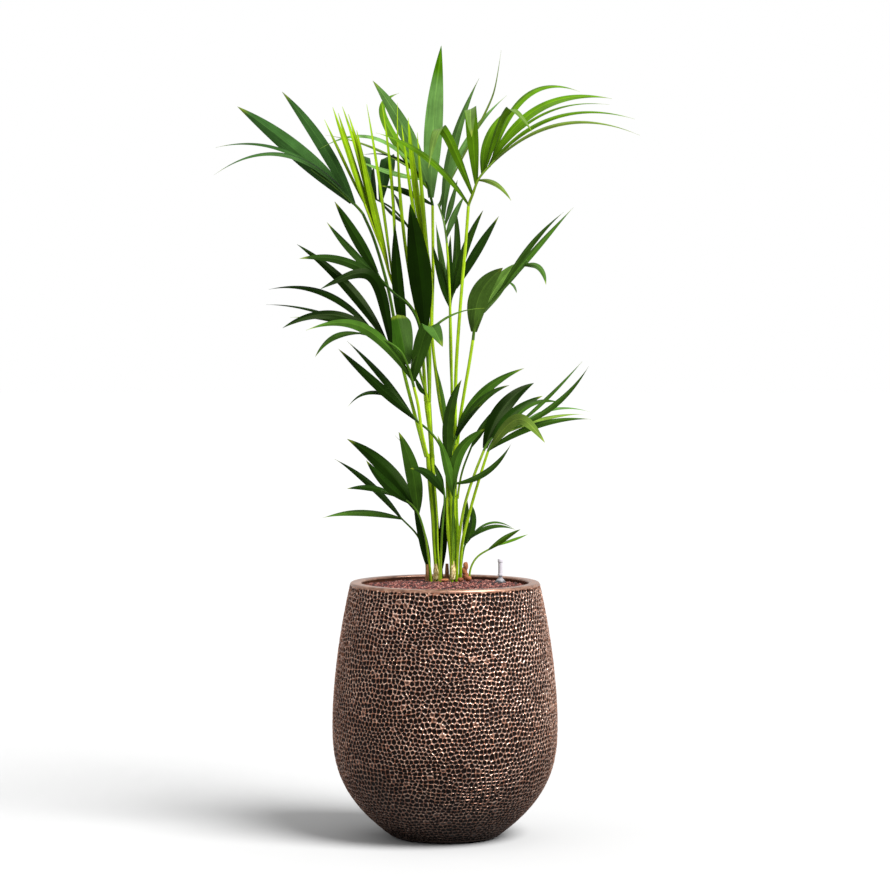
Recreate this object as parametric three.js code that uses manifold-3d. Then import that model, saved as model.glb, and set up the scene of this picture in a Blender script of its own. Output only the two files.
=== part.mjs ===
// A potted kentia palm: two clustered stems with their arching stalks and fronds, standing in a
// tall egg-shaped planter filled with clay granules. Millimetres, +Z up, the front faces -Y.
import * as THREE from "three";
import { mergeVertices } from "three/addons/utils/BufferGeometryUtils.js";
import Module from "manifold-3d";

const wasm = await Module();
wasm.setup();

// The planter
const POT_HEIGHT = 560;
const BELLY_RADIUS = 247;
const BELLY_HEIGHT = 250;
const RIM_RADIUS = 207;
const FOOT_RADIUS = 112;
const WALL = 24;
const FLOOR = 30;
const RIM_ROUND = 4;
const SHOULDER_CURVE = 1.76;
const FOOT_CURVE = 2.67;
const POT_SIDES = 40;

// What fills it: a bed of clay granules over the growing medium, a little higher in the middle
const BED_EDGE = 549;
const BED_RISE = 7;
const BED_DEPTH = 40;
const CLEAR = 0.3;
const SNUG = 0.1;
// Edges shorter than this are merged where blades are joined.
const SEAM_GRAIN = 0.05;

// The palm was measured from straight ahead: across and up on the plane of the pot's axis. A
// piece that grows nearer or farther lies on the same line of sight from a standing viewer.
const VIEWER_DISTANCE = 7500;
const VIEWER_HEIGHT = 1216;

// A leaflet is a thin blade with a ridge along its middle
const LEAF_THINNESS = 75;
const LEAF_MIN_THICK = 2.6;
const LEAF_STATIONS = 4;
// How far the two rows of leaflets part toward and away from the front, against the listed depths
const SPREAD = 1.5;
const STALK_SIDES = 6;
const BLADE_STEPS = 7;
const STEM_SIDES = 8;

const UP = new THREE.Vector3(0, 0, 1);

const COLOURS = {
  bronze: 0x6b4b38,
  granule: 0x6e3a30,
  medium: 0x2c211b,
  clay: 0xa9603f,
  clear: 0xe6e8ea,
  collar: 0x54585c,
  stem: 0x8cb425,
  stalk: 0x7fa81f,
  stub: 0x4a3a22,
  leaf: 0x3f7a24,
  dark: 0x16370f,
  pale: 0x8fae7c,
  spear: 0x9fc520,
};

const palm = new THREE.Group();
palm.name = "potted_kentia_palm";

function add(name, geometry, colour, roughness = 0.6, metalness = 0) {
  const material = new THREE.MeshStandardMaterial({ color: COLOURS[colour], roughness, metalness });
  const mesh = new THREE.Mesh(geometry, material);
  mesh.name = name;
  palm.add(mesh);
  return mesh;
}

// The point at a depth that is seen at (across, up) on the plane of the pot's axis.
function seen(across, up, depth) {
  const k = (VIEWER_DISTANCE + depth) / VIEWER_DISTANCE;
  return new THREE.Vector3(across * k, depth, VIEWER_HEIGHT + (up - VIEWER_HEIGHT) * k);
}

// The height of the granule bed at a distance from the pot's axis.
function bedHeight(radius) {
  const inner = RIM_RADIUS - WALL;
  return BED_EDGE + BED_RISE * Math.max(0, 1 - (radius / inner) ** 2);
}

// The foot of a stalk, just clear of the bed.
function onBed(across, depth) {
  const x = (across * (VIEWER_DISTANCE + depth)) / VIEWER_DISTANCE;
  return new THREE.Vector3(x, depth, bedHeight(Math.hypot(x, depth)) + CLEAR);
}

// A closed solid from rings of points, with a flat start and either a flat end or a tip.
function skin(rings, tip) {
  const sides = rings[0].length;
  const points = rings.flat();
  const faces = [];
  for (let j = 0; j + 1 < rings.length; j++) {
    for (let i = 0; i < sides; i++) {
      const a = j * sides + i;
      const b = j * sides + ((i + 1) % sides);
      faces.push(a, b, b + sides, a, b + sides, a + sides);
    }
  }
  for (let i = 1; i + 1 < sides; i++) {
    faces.push(0, i + 1, i);
  }
  const last = (rings.length - 1) * sides;
  if (tip) {
    points.push(tip);
    for (let i = 0; i < sides; i++) {
      faces.push(last + i, last + ((i + 1) % sides), points.length - 1);
    }
  } else {
    for (let i = 1; i + 1 < sides; i++) {
      faces.push(last, last + i, last + i + 1);
    }
  }
  const geometry = new THREE.BufferGeometry().setFromPoints(points);
  geometry.setIndex(faces);
  return outward(geometry);
}

// Turns every face round where the solid would be inside out.
function outward(geometry) {
  const at = geometry.attributes.position;
  const index = geometry.index.array;
  const corner = [new THREE.Vector3(), new THREE.Vector3(), new THREE.Vector3()];
  let volume = 0;
  for (let i = 0; i < index.length; i += 3) {
    corner.forEach((c, k) => c.fromBufferAttribute(at, index[i + k]));
    volume += corner[0].dot(corner[1].clone().cross(corner[2]));
  }
  if (volume < 0) {
    for (let i = 0; i < index.length; i += 3) {
      [index[i + 1], index[i + 2]] = [index[i + 2], index[i + 1]];
    }
  }
  geometry.computeVertexNormals();
  return geometry;
}

function toSolid(geometry) {
  const bare = geometry.clone();
  bare.deleteAttribute("normal");
  bare.deleteAttribute("uv");
  const merged = mergeVertices(bare, 1e-4);
  return new wasm.Manifold(
    new wasm.Mesh({
      numProp: 3,
      vertProperties: new Float32Array(merged.attributes.position.array),
      triVerts: new Uint32Array(merged.index.array),
    }),
  );
}

function fromSolid(solid) {
  const mesh = solid.getMesh();
  const geometry = new THREE.BufferGeometry();
  geometry.setAttribute("position", new THREE.BufferAttribute(mesh.vertProperties, 3));
  geometry.setIndex(new THREE.BufferAttribute(mesh.triVerts, 1));
  geometry.computeVertexNormals();
  return geometry;
}

function fused(geometries) {
  const whole = geometries.map(toSolid).reduce((sum, piece) => sum.add(piece));
  return fromSolid(whole.simplify(SEAM_GRAIN));
}

// Width and up directions of a ring across a limb that runs along `along`.
function ringAxes(along) {
  const away = new THREE.Vector3(0, 1, 0);
  const side = away.clone().cross(along).normalize();
  return [side, along.clone().cross(side).normalize()];
}

// A round tapering limb through points. `first` and `last` set the way its end rings face.
function limb(points, radii, steps, { sides = STALK_SIDES, first = UP, last } = {}) {
  const path = new THREE.CatmullRomCurve3(points, false, "centripetal");
  const rings = [];
  for (let j = 0; j <= steps; j++) {
    const t = j / steps;
    const centre = path.getPointAt(t);
    const end = { 0: first, [steps]: last }[j];
    const along = end ?? path.getTangentAt(t);
    const [side, front] = ringAxes(along);
    const place = t * (radii.length - 1);
    const k = Math.min(Math.floor(place), radii.length - 2);
    const radius = THREE.MathUtils.lerp(radii[k], radii[k + 1], place - k);
    rings.push(
      Array.from({ length: sides }, (_, i) => {
        const angle = ((i + 0.5) / sides) * 2 * Math.PI;
        return centre
          .clone()
          .addScaledVector(side, radius * Math.cos(angle))
          .addScaledVector(front, radius * Math.sin(angle));
      }),
    );
  }
  return skin(rings);
}

// The middle line of a leaflet from its root over a via point to its tip: a conic, whose crook is
// 1 for an even bend and higher for a leaflet that folds over sharply.
function middleLine(root, via, tip, crook, count) {
  const near = root.distanceTo(via);
  const t = near / (near + via.distanceTo(tip));
  const a = (1 - t) ** 2;
  const b = 2 * t * (1 - t) * crook;
  const c = t ** 2;
  const control = via
    .clone()
    .multiplyScalar(a + b + c)
    .addScaledVector(root, -a)
    .addScaledVector(tip, -c)
    .multiplyScalar(1 / b);
  const fine = 80;
  const line = Array.from({ length: fine + 1 }, (_, i) => {
    const s = i / fine;
    const weights = [(1 - s) ** 2, 2 * s * (1 - s) * crook, s ** 2];
    const sum = weights[0] + weights[1] + weights[2];
    return new THREE.Vector3()
      .addScaledVector(root, weights[0] / sum)
      .addScaledVector(control, weights[1] / sum)
      .addScaledVector(tip, weights[2] / sum);
  });
  const lengths = [0];
  for (let i = 1; i <= fine; i++) {
    lengths.push(lengths[i - 1] + line[i].distanceTo(line[i - 1]));
  }
  const whole = lengths[fine];
  const points = Array.from({ length: count }, (_, j) => {
    const target = (j / (count - 1)) * whole;
    const i = Math.max(1, lengths.findIndex((l) => l >= target - 1e-9));
    const part = (target - lengths[i - 1]) / (lengths[i] - lengths[i - 1]);
    return line[i - 1].clone().lerp(line[i], part);
  });
  return { points, whole };
}

// Share of a leaflet's full width at a place along it: slim at the root, full before the middle,
// and drawn out to a point.
function leafWidth(s) {
  const swell = Math.min(1, 0.3 + 0.7 * Math.sin(Math.min(s / 0.42, 1) * (Math.PI / 2)));
  const taper = s < 0.42 ? 1 : Math.cos(((s - 0.42) / 0.58) * (Math.PI / 2)) ** 0.85;
  return swell * taper;
}

// How far a leaflet is turned about its middle line, its face toward the sky: one that looks
// narrow is seen nearly edge-on.
function leafTurn(width) {
  return THREE.MathUtils.degToRad(Math.max(8, 66 * (1 - width / 36)));
}

// A leaflet of a diamond section. `toward` is how far its tip comes toward the viewer.
function leaflet(root, row) {
  const [, viaAcross, viaUp, tipAcross, tipUp, width, toward, crook = 1] = row;
  const via = seen(viaAcross, viaUp, root.y - 0.45 * SPREAD * toward);
  const tip = seen(tipAcross, tipUp, root.y - SPREAD * toward);
  const count = LEAF_STATIONS + (crook > 1 ? 3 : 1);
  const { points, whole } = middleLine(root, via, tip, crook, count);
  const turn = Math.sign(tip.x - root.x) * leafTurn(width);
  const full = width / Math.cos(turn);
  const thick = Math.max(LEAF_MIN_THICK, whole / LEAF_THINNESS);
  const viewer = new THREE.Vector3(0, -1, 0);
  const rings = points.slice(0, -1).map((centre, j) => {
    const along = points[j + 1].clone().sub(points[Math.max(0, j - 1)]).normalize();
    const flat = along.clone().cross(viewer).normalize();
    const face = flat.clone().cross(along).normalize();
    const across = flat.clone().multiplyScalar(Math.cos(turn)).addScaledVector(face, Math.sin(turn));
    const normal = across.clone().cross(along).normalize();
    const s = j / (points.length - 1);
    const half = Math.max(1.5, (full / 2) * leafWidth(s));
    const ridge = Math.min(thick / 2, half * 0.8);
    return [
      centre.clone().addScaledVector(across, half),
      centre.clone().addScaledVector(normal, ridge),
      centre.clone().addScaledVector(across, -half),
      centre.clone().addScaledVector(normal, -ridge),
    ];
  });
  return skin(rings, points.at(-1));
}

// Points on a sight-line path, with the depth running evenly from one end to the other.
function pathPoints(list, from, to) {
  const flat = list.map(([x, z]) => new THREE.Vector2(x, z));
  const lengths = [0];
  for (let i = 1; i < flat.length; i++) {
    lengths.push(lengths[i - 1] + flat[i].distanceTo(flat[i - 1]));
  }
  return list.map(([x, z], i) => seen(x, z, THREE.MathUtils.lerp(from, to, lengths[i] / lengths.at(-1))));
}

// A blade: its rib with every leaflet's root sunk to the middle of the rib.
function blade(points, radii, rows, first) {
  const path = new THREE.CatmullRomCurve3(points, false, "centripetal");
  const parts = [limb(points, radii, BLADE_STEPS, { first })];
  rows.forEach((row) => parts.push(leaflet(path.getPointAt(row[0]), row)));
  return fused(parts);
}

// Planter

function outerRadius(z) {
  if (z >= BELLY_HEIGHT) {
    const u = (z - BELLY_HEIGHT) / (POT_HEIGHT - BELLY_HEIGHT);
    return BELLY_RADIUS - (BELLY_RADIUS - RIM_RADIUS) * u ** SHOULDER_CURVE;
  }
  const u = (BELLY_HEIGHT - z) / BELLY_HEIGHT;
  return BELLY_RADIUS - (BELLY_RADIUS - FOOT_RADIUS) * u ** FOOT_CURVE;
}

// Radius and height pairs of the wall between two heights.
function wallLine(low, high, steps, inset) {
  return Array.from({ length: steps + 1 }, (_, i) => {
    const z = low + ((high - low) * i) / steps;
    return new THREE.Vector2(outerRadius(z) - inset, z);
  });
}

// A lathe about the pot's upright axis.
function turned(profile) {
  const lathe = new THREE.LatheGeometry(profile, POT_SIDES);
  lathe.rotateX(Math.PI / 2);
  lathe.deleteAttribute("normal");
  lathe.deleteAttribute("uv");
  return outward(mergeVertices(lathe, 1e-3));
}

const INNER_WALL = wallLine(FLOOR, POT_HEIGHT - RIM_ROUND, 7, WALL);

function planter() {
  const outer = wallLine(8, POT_HEIGHT - RIM_ROUND, 11, 0);
  return turned([
    new THREE.Vector2(0, 0),
    new THREE.Vector2(FOOT_RADIUS - 4, 0),
    ...outer,
    new THREE.Vector2(RIM_RADIUS - RIM_ROUND, POT_HEIGHT),
    new THREE.Vector2(RIM_RADIUS - WALL + RIM_ROUND, POT_HEIGHT),
    ...INNER_WALL.toReversed(),
    new THREE.Vector2(0, FLOOR),
  ]);
}

// What fills the planter between two heights, clear of its inner wall, under a top line that
// runs to the axis.
function filling(low, high, topLine) {
  const wall = [low, ...INNER_WALL.map((p) => p.y).filter((z) => z > low && z < high), high].map((z) => {
    const i = Math.max(1, INNER_WALL.findIndex((p) => p.y >= z));
    const [under, over] = [INNER_WALL[i - 1], INNER_WALL[i]];
    const radius = THREE.MathUtils.mapLinear(z, under.y, over.y, under.x, over.x);
    return new THREE.Vector2(radius - CLEAR - SNUG, z);
  });
  return turned([new THREE.Vector2(0, low), ...wall, ...topLine]);
}

add("planter", planter(), "bronze", 0.45, 0.6);
const bedFloor = BED_EDGE - BED_DEPTH;
add(
  "growing_medium",
  filling(FLOOR + CLEAR, bedFloor - CLEAR, [new THREE.Vector2(0, bedFloor - CLEAR)]),
  "medium",
  0.95,
);
const domeRadii = [140, 90, 45, 0];
add(
  "granule_bed",
  filling(bedFloor, BED_EDGE, domeRadii.map((r) => new THREE.Vector2(r, bedHeight(r)))),
  "granule",
  0.9,
);

// Water gauge: a dark collar, a small nut and a clear tube

const GAUGE = { across: 121, depth: 57, collar: 12.5, neck: 4.6, collarHeight: 12, nut: 3.4, top: 607, tube: 4 };

function gauge() {
  const foot = onBed(GAUGE.across, GAUGE.depth);
  foot.z = bedHeight(Math.hypot(foot.x, foot.y) - GAUGE.collar) + CLEAR;
  const cone = new THREE.CylinderGeometry(GAUGE.neck, GAUGE.collar, GAUGE.collarHeight, 20);
  const nut = new THREE.CylinderGeometry(GAUGE.neck, GAUGE.neck, GAUGE.nut, 6);
  const tubeFoot = foot.z + GAUGE.collarHeight + GAUGE.nut + 2 * CLEAR;
  const tubeTop = seen(GAUGE.across, GAUGE.top, GAUGE.depth).z;
  const tube = new THREE.CylinderGeometry(GAUGE.tube, GAUGE.tube, tubeTop - tubeFoot, 14);
  const middle = [
    foot.z + GAUGE.collarHeight / 2,
    foot.z + GAUGE.collarHeight + CLEAR + GAUGE.nut / 2,
    (tubeFoot + tubeTop) / 2,
  ];
  [cone, nut, tube].forEach((geometry, i) => {
    geometry.rotateX(Math.PI / 2);
    const mesh = add(["gauge_collar", "gauge_nut", "gauge_tube"][i], geometry, i ? "clear" : "collar", 0.3);
    mesh.position.set(foot.x, foot.y, middle[i]);
  });
}
gauge();

// Clay pieces on the bed beside the stems: across, depth, half width, half height, tall or low

const CLAY = [
  [-1, 28, 12, 5],
  [34, 40, 8, 6],
  [51, 58, 8, 7],
  [44, 88, 7, 22],
];

CLAY.forEach(([across, depth, wide, tall], i) => {
  const lump = new THREE.IcosahedronGeometry(1, 1);
  lump.scale(wide, wide * 0.8, tall);
  const mesh = add(`clay_piece_${i + 1}`, lump, "clay", 0.85);
  const foot = onBed(across, depth);
  mesh.position.set(foot.x, foot.y, foot.z + tall);
});

// Stems: the bundled sheaths of each cluster, from the bed to where the stalks part. Each has a
// level top that the next pieces stand on.

const STEMS = {
  stem_left: [[[-19, 560], [-18, 600], [-21, 640], [-23, 700], [-28, 760], [-33, 832]], "bed", 62, [8, 6.2, 7.5, 8.5, 9, 10.5]],
  stem_right: [[[19, 560], [19, 600], [18, 640], [15, 700], [14, 742]], "bed", 62, [9, 9, 12.5, 13.5, 14.2]],
  stem_right_upper: [[[17, 743], [17, 800], [19, 862]], "stem_right", 65, [8.5, 9.5, 11]],
  stem_left_upper: [[[-28, 833], [-31, 880], [-38, 955]], "stem_left", 63, [4.8, 5.5, 8]],
};
const topOf = {};

// The foot of a piece that stands at (across, depth) on the bed or on a stem's level top.
function footOn(stand, across, depth) {
  const foot = onBed(across, depth);
  if (stand !== "bed") {
    foot.z = topOf[stand] + CLEAR;
  }
  return foot;
}

Object.entries(STEMS).forEach(([name, [list, stand, depth, radii]]) => {
  const points = list.map(([across, up]) => seen(across, up, depth));
  points[0] = footOn(stand, list[0][0], depth);
  add(name, limb(points, radii, 2 * list.length - 2, { sides: STEM_SIDES, last: UP }), "stem");
  topOf[name] = points.at(-1).z;
});

// Stalks of the larger fronds: points across and up, what each stands on, its depth at the foot
// and the neck, and its radii there.

const STALKS = {
  upper_left: [
    [[-41, 833], [-59, 900], [-94, 1038], [-123, 1196], [-155, 1309], [-178, 1362]],
    "stem_left", 68, 105, 4, 3.2,
  ],
  lower_left: [[[-38, 833], [-50, 884], [-59, 948], [-68, 987]], "stem_left", 56, -10, 3.8, 3.2],
  back_left: [[[-34, 956], [-34, 1080], [-42, 1180], [-60, 1300]], "stem_left_upper", 66, 130, 4, 3],
  spear_left: [[[-43, 956], [-47, 1030], [-50, 1090]], "stem_left_upper", 64, 52, 3.2, 3.4],
  mid_left: [
    [[-41, 956], [-46, 1030], [-56, 1120], [-76, 1161], [-110, 1190]],
    "stem_left_upper", 57, 0, 3.2, 3,
  ],
  tall_back: [
    [[10.2, 863], [-8, 937], [-20, 1020], [-28, 1100], [-26, 1237], [-27, 1381]],
    "stem_right_upper", 72.5, 150, 4, 3.2,
  ],
  pale_back: [
    [[15, 863], [15, 960], [13, 1100], [8, 1237], [4, 1300]],
    "stem_right_upper", 57, 92, 3.2, 2.6,
  ],
  dark_fan: [[[17.5, 863], [16, 960], [12, 1060], [11, 1157]], "stem_right_upper", 70.5, 118, 3.2, 3],
  arching_right: [
    [[22, 863], [24, 1020], [34, 1170], [45, 1300], [51, 1380]],
    "stem_right_upper", 56, 30, 4, 3.4,
  ],
  right: [[[27, 863], [32, 910], [41, 968], [53, 1038], [61, 1089]], "stem_right_upper", 64, 30, 3.8, 3.4],
  thin_left: [[[5, 743], [2, 808], [-10, 857], [-32, 888], [-62, 913]], "stem_right", 56, 36, 3, 2.6],
  low_right_dark: [[[25, 560], [29, 640], [43, 728], [66, 800], [85, 848]], "bed", 50, 0, 3.6, 3],
  low_right: [[[33, 560], [37, 640], [56, 720], [79, 799], [94, 846]], "bed", 56, -30, 3.6, 3],
};
const neckOf = {};

Object.entries(STALKS).forEach(([name, [list, stand, from, to, foot, neck]]) => {
  const points = pathPoints(list, from, to);
  points[0] = footOn(stand, list[0][0], from);
  const path = new THREE.CatmullRomCurve3(points, false, "centripetal");
  neckOf[name] = { point: path.getPointAt(1), along: path.getTangentAt(1) };
  add(`${name}_stalk`, limb(points, [foot, neck], 2 * list.length - 1), "stalk");
});

// Blades: the rib's points after the stalk's neck, the depths and radii at its two ends, its
// colour, then one row for each leaflet:
// place along the rib, via point, tip point, width as seen, how far the tip comes forward, crook.

const BLADES = {
  upper_left: [
    [[-220, 1405], [-260, 1438], [-292, 1460]], 105, 120, 3.2, 2, "leaf",
    [
      [0.2, -283, 1538, -354, 1628, 28, 60],
      [0.24, -350, 1522, -451, 1596, 46, -70],
      [0.08, -385, 1494, -502, 1448, 10, 50],
      [0.3, -385, 1511, -499, 1507, 9, -60],
    ],
  ],
  back_left: [
    [[-80, 1335], [-115, 1375], [-152, 1396]], 130, 200, 3, 2, "dark",
    [
      [0.35, -112, 1362, -144, 1394, 8, 30],
      [0.44, -99, 1384, -112, 1408, 8, -60],
      [0.9, -128, 1490, -112, 1476, 20, -60, 3],
      [0.97, -155, 1430, -155, 1467, 11, 50],
      [0.99, -178, 1484, -163, 1470, 15, -90, 3],
    ],
  ],
  tall_back: [
    [[-31, 1400], [-39, 1430], [-52, 1446]], 150, 160, 3.2, 2, "pale",
    [
      [0.03, -85, 1412, -138, 1424, 14, 50],
      [0.25, -25, 1560, -8, 1728, 41, -60],
      [0.5, -134, 1600, -100, 1625, 20, -90, 2],
      [0.68, -100, 1568, -157, 1652, 33, 60],
      [0.84, -125, 1456, -196, 1482, 11, 40],
      [0.9, -140, 1500, -260, 1534, 6, -90],
      [0.95, -160, 1530, -271, 1505, 9, 80],
      [0.99, -120, 1490, -185, 1490, 5, 30],
    ],
  ],
  pale_back: [
    [[0, 1332], [-6, 1360], [-15, 1385]], 92, 104, 2.6, 2, "pale",
    [
      [0.14, 20, 1362, 42, 1402, 14, 15],
      [0.43, 14, 1390, 27, 1437, 12, 10],
      [0.6, 18, 1512, 74, 1657, 22, 60],
      [0.91, 44, 1516, 134, 1620, 14, -70],
      [0.99, 106, 1629, 122, 1718, 5, -100, 6],
    ],
  ],
  dark_fan: [
    [[14, 1180], [24, 1203]], 118, 126, 3, 2.2, "dark",
    [
      [0.06, -10, 1230, -26, 1296, 14, 10],
      [0.17, -6, 1260, -20, 1346, 14, -60],
      [0.31, 11, 1245, 12, 1317, 14, -20],
      [0.53, 25, 1285, 22, 1376, 17, -70],
      [0.74, 42, 1284, 83, 1371, 18, 60],
      [0.98, 68, 1282, 117, 1358, 20, -60],
    ],
  ],
  arching_right: [
    [[60, 1405], [74, 1440], [108, 1479]], 30, 0, 3.4, 2, "leaf",
    [
      [0.02, -50, 1494, -150, 1539, 14, 80],
      [0.23, -10, 1548, -36, 1462, 20, 100, 2.5],
      [0.44, 56, 1590, 58, 1530, 26, 110, 3],
      [0.52, 104, 1432, 144, 1392, 11, 60],
      [0.66, 99, 1539, 145, 1591, 19, -60],
      [0.72, 143, 1589, 192, 1538, 13, 60, 2.5],
      [0.7, 240, 1556, 423, 1534, 8, 90],
      [0.78, 222, 1584, 357, 1600, 6, -60],
      [0.75, 242, 1574, 412, 1569, 9, 40],
      [0.84, 212, 1597, 363, 1613, 19, -90],
      [0.9, 190, 1628, 293, 1628, 13, -130],
    ],
  ],
  spear_left: [
    [[-66, 1148], [-110, 1205], [-135, 1280], [-175, 1385]], 52, 40, 3.4, 2.6, "spear",
    [
      [0.02, -85, 1290, -103, 1604, 7, 30],
      [0.4, -112, 1390, -138, 1608, 7, 30],
      [0.43, -140, 1420, -170, 1601, 7, -30],
      [0.78, -181, 1465, -223, 1596, 10, -20],
      [0.94, -208, 1490, -244, 1595, 10, 20],
      [0.99, -213, 1465, -262, 1568, 7, 0],
    ],
  ],
  mid_left: [
    [[-125, 1205], [-139, 1220], [-148, 1236]], 0, -10, 3, 2.2, "dark",
    [
      [0.35, -224, 1262, -317, 1266, 20, 60],
      [0.67, -202, 1282, -257, 1345, 10, -40],
      [0.98, -190, 1308, -240, 1390, 20, 40],
    ],
  ],
  lower_left: [
    [[-80, 1029], [-98, 1065], [-140, 1092], [-188, 1104]], -10, -90, 3.2, 2, "dark",
    [
      [0.07, -32, 1118, -5, 1074, 30, 75, 2.5],
      [0.18, 0, 1136, 86, 1158, 6, 20],
      [0.28, -104, 1150, -124, 1137, 46, 110, 3],
      [0.6, -170, 1233, -271, 1200, 20, 60, 2],
      [0.67, -207, 1200, -322, 1297, 16, -50],
      [0.74, -252, 1145, -354, 1115, 15, 80],
      [0.79, -268, 1193, -384, 1199, 9, -70],
      [0.86, -303, 1157, -390, 1166, 7, -20],
      [0.62, -240, 1131, -337, 1138, 9, 60],
      [0.4, -250, 1131, -303, 1112, 13, 110, 1.6],
      [0.99, -237, 1098, -283, 1052, 9, 40],
    ],
  ],
  right: [
    [[65, 1116], [82, 1150], [120, 1192], [160, 1236], [179, 1262]], 30, -40, 3.4, 2, "leaf",
    [
      [0.08, 78, 1192, 126, 1246, 44, 70, 1.5],
      [0.31, 118, 1212, 160, 1257, 34, -80],
      [0.72, 150, 1207, 156, 1191, 6, 40],
      [0.55, 197, 1308, 258, 1367, 12, 60],
      [0.94, 202, 1249, 220, 1209, 13, 70],
      [0.42, 195, 1285, 279, 1377, 14, -50],
    ],
  ],
  thin_left: [
    [[-80, 935], [-104, 960], [-122, 971]], 36, 30, 2.6, 2, "leaf",
    [
      [0.05, -158, 1001, -232, 1069, 16, 60],
      [0.15, -154, 1028, -213, 1086, 11, -60],
      [0.7, -168, 974, -212, 943, 8, 50],
    ],
  ],
  low_right_dark: [
    [[92, 862], [103, 876]], 0, 0, 3, 2.4, "dark",
    [
      [0.15, 126, 940, 194, 995, 26, -70],
      [0.98, 150, 931, 213, 967, 20, -50],
    ],
  ],
  low_right: [
    [[108, 869], [134, 890], [160, 901]], -30, -60, 3, 2, "leaf",
    [
      [0.03, 210, 906, 319, 916, 14, 60],
      [0.08, 160, 916, 218, 865, 20, 110, 2],
      [0.5, 222, 919, 303, 927, 8, -40],
      [0.66, 190, 950, 258, 950, 10, -60],
      [0.88, 222, 962, 299, 1042, 8, -60],
      [0.95, 250, 957, 313, 1031, 12, 50],
      [0.99, 240, 939, 316, 932, 6, 0],
    ],
  ],
};

Object.entries(BLADES).forEach(([name, [list, from, to, neck, end, colour, rows]]) => {
  const { point, along } = neckOf[name];
  const stalkEnd = STALKS[name][0].at(-1);
  const points = pathPoints([stalkEnd, ...list], from, to);
  points[0] = point.clone().addScaledVector(along, CLEAR);
  add(`${name}_frond`, blade(points, [neck, end], rows, along), colour);
});

// Small fronds and single leaves whose stalk and blade are one piece, with what they stand on

const SMALL = {
  centre_frond: [
    [[13, 743], [10, 800], [13, 840], [24, 880]], "stem_right", 51, 34, 3, 2.4, "dark",
    [
      [0.49, 10, 930, 36, 1002, 25, 60],
      [0.6, -4, 960, -24, 1048, 10, -10],
      [0.94, 80, 958, 140, 990, 16, 70],
      [0.98, 82, 974, 172, 1027, 20, -10],
      [0.99, 50, 921, 79, 948, 8, 40],
    ],
  ],
  spear_right: [
    [[8.5, 863], [-20, 1020], [-30, 1120], [-29, 1237]], "stem_right_upper", 64, 115, 3, 2.6, "spear",
    [[0.98, -60, 1400, -80, 1572, 15, 10]],
  ],
  broad_dark_leaf: [
    [[-34, 956], [-39, 1060], [-44, 1120]], "stem_left_upper", 57, 20, 3, 3, "dark",
    [[0.98, -56, 1250, -76, 1385, 50, 10]],
  ],
  upright_dark_leaf: [
    [[-38, 956], [-52, 1009], [-62, 1046], [-88, 1088]], "stem_left_upper", 50.5, 20, 3, 2.6, "dark",
    [
      [0.1, -53, 984, -66, 1010, 10, 16],
      [0.98, -101, 1200, -109, 1341, 26, 0],
    ],
  ],
  thin_right_leaf: [
    [[28, 743], [37, 799], [60, 862]], "stem_right", 60, 70, 2.4, 2.2, "dark",
    [[0.95, 82, 900, 101, 931, 14, 0]],
  ],
  front_centre: [
    [[16, 560], [17, 680], [20, 762], [24, 778]], "bed", 42, 20, 2.6, 2.2, "leaf",
    [
      [0.93, 36, 852, 90, 896, 20, -6],
      [0.99, 85, 798, 145, 863, 13, 90],
    ],
  ],
  front_dark: [
    [[-10, 560], [-7, 660], [-1, 745], [-3, 766]], "bed", 42, 10, 2.6, 2.2, "dark",
    [
      [0.93, -38, 797, -75, 808, 18, 60],
      [0.99, -14, 797, -24, 820, 12, -6],
    ],
  ],
  low_left: [
    [[-30, 560], [-37, 620], [-46, 672], [-62, 716], [-80, 735], [-105, 747], [-140, 760]],
    "bed", 54, 0, 2.8, 2, "leaf",
    [
      [0.6, -62, 815, -110, 881, 8, -20],
      [0.62, -72, 806, -101, 888, 32, 50],
      [0.65, -132, 811, -214, 873, 33, -40],
      [0.74, -128, 775, -172, 826, 20, 50],
      [0.86, -160, 766, -214, 764, 13, -20],
    ],
  ],
  far_left: [
    [[-40, 560], [-43, 618], [-60, 661], [-98, 702]], "bed", 84, 110, 2.6, 2, "leaf",
    [
      [0.97, -185, 712, -268, 700, 14, 70],
      [0.99, -163, 774, -241, 829, 15, -60],
    ],
  ],
  low_dark_leaf: [
    [[-33, 560], [-34, 585]], "bed", 78, 80, 3, 3, "dark",
    [[0.9, -46, 648, -68, 724, 20, -10]],
  ],
  middle_dark_leaf: [
    [[-6, 560], [-8, 590]], "bed", 80, 82, 2.6, 2.6, "dark",
    [[0.9, -14, 650, -16, 716, 10, -6]],
  ],
  low_right_pair: [
    [[35, 560], [36, 600], [44, 642], [52, 654]], "bed", 92, 100, 2.6, 2, "dark",
    [
      [0.82, 45, 690, 49, 737, 12, 10],
      [0.88, 60, 692, 57, 731, 12, -20],
      [0.98, 100, 681, 154, 674, 9, 40],
      [0.99, 100, 690, 151, 676, 5, -30],
    ],
  ],
  far_right: [
    [[53, 560], [57, 592], [71, 615], [112, 640]], "bed", 104, 124, 2.4, 2, "leaf",
    [
      [0.8, 130, 656, 165, 675, 11, 40],
      [0.98, 144, 651, 181, 664, 6, -20],
    ],
  ],
};

Object.entries(SMALL).forEach(([name, [list, stand, from, to, foot, end, colour, rows]]) => {
  const points = pathPoints(list, from, to);
  points[0] = footOn(stand, list[0][0], from);
  add(name, blade(points, [foot, end], rows, UP), colour);
});

// Old sheaths and stubs at the foot of the stems

const STUBS = {
  old_stub_left: [-39, 64, 598, 2.6, "stub"],
  old_stub_middle: [4, 74, 600, 3.4, "stub"],
};

Object.entries(STUBS).forEach(([name, [across, depth, top, radius, colour]]) => {
  const foot = onBed(across, depth);
  const end = seen(across, top, depth);
  const middle = foot.clone().lerp(end, 0.5);
  add(name, limb([foot, middle, end], [radius, radius * 0.7], 2), colour);
});

export default palm;
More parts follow.
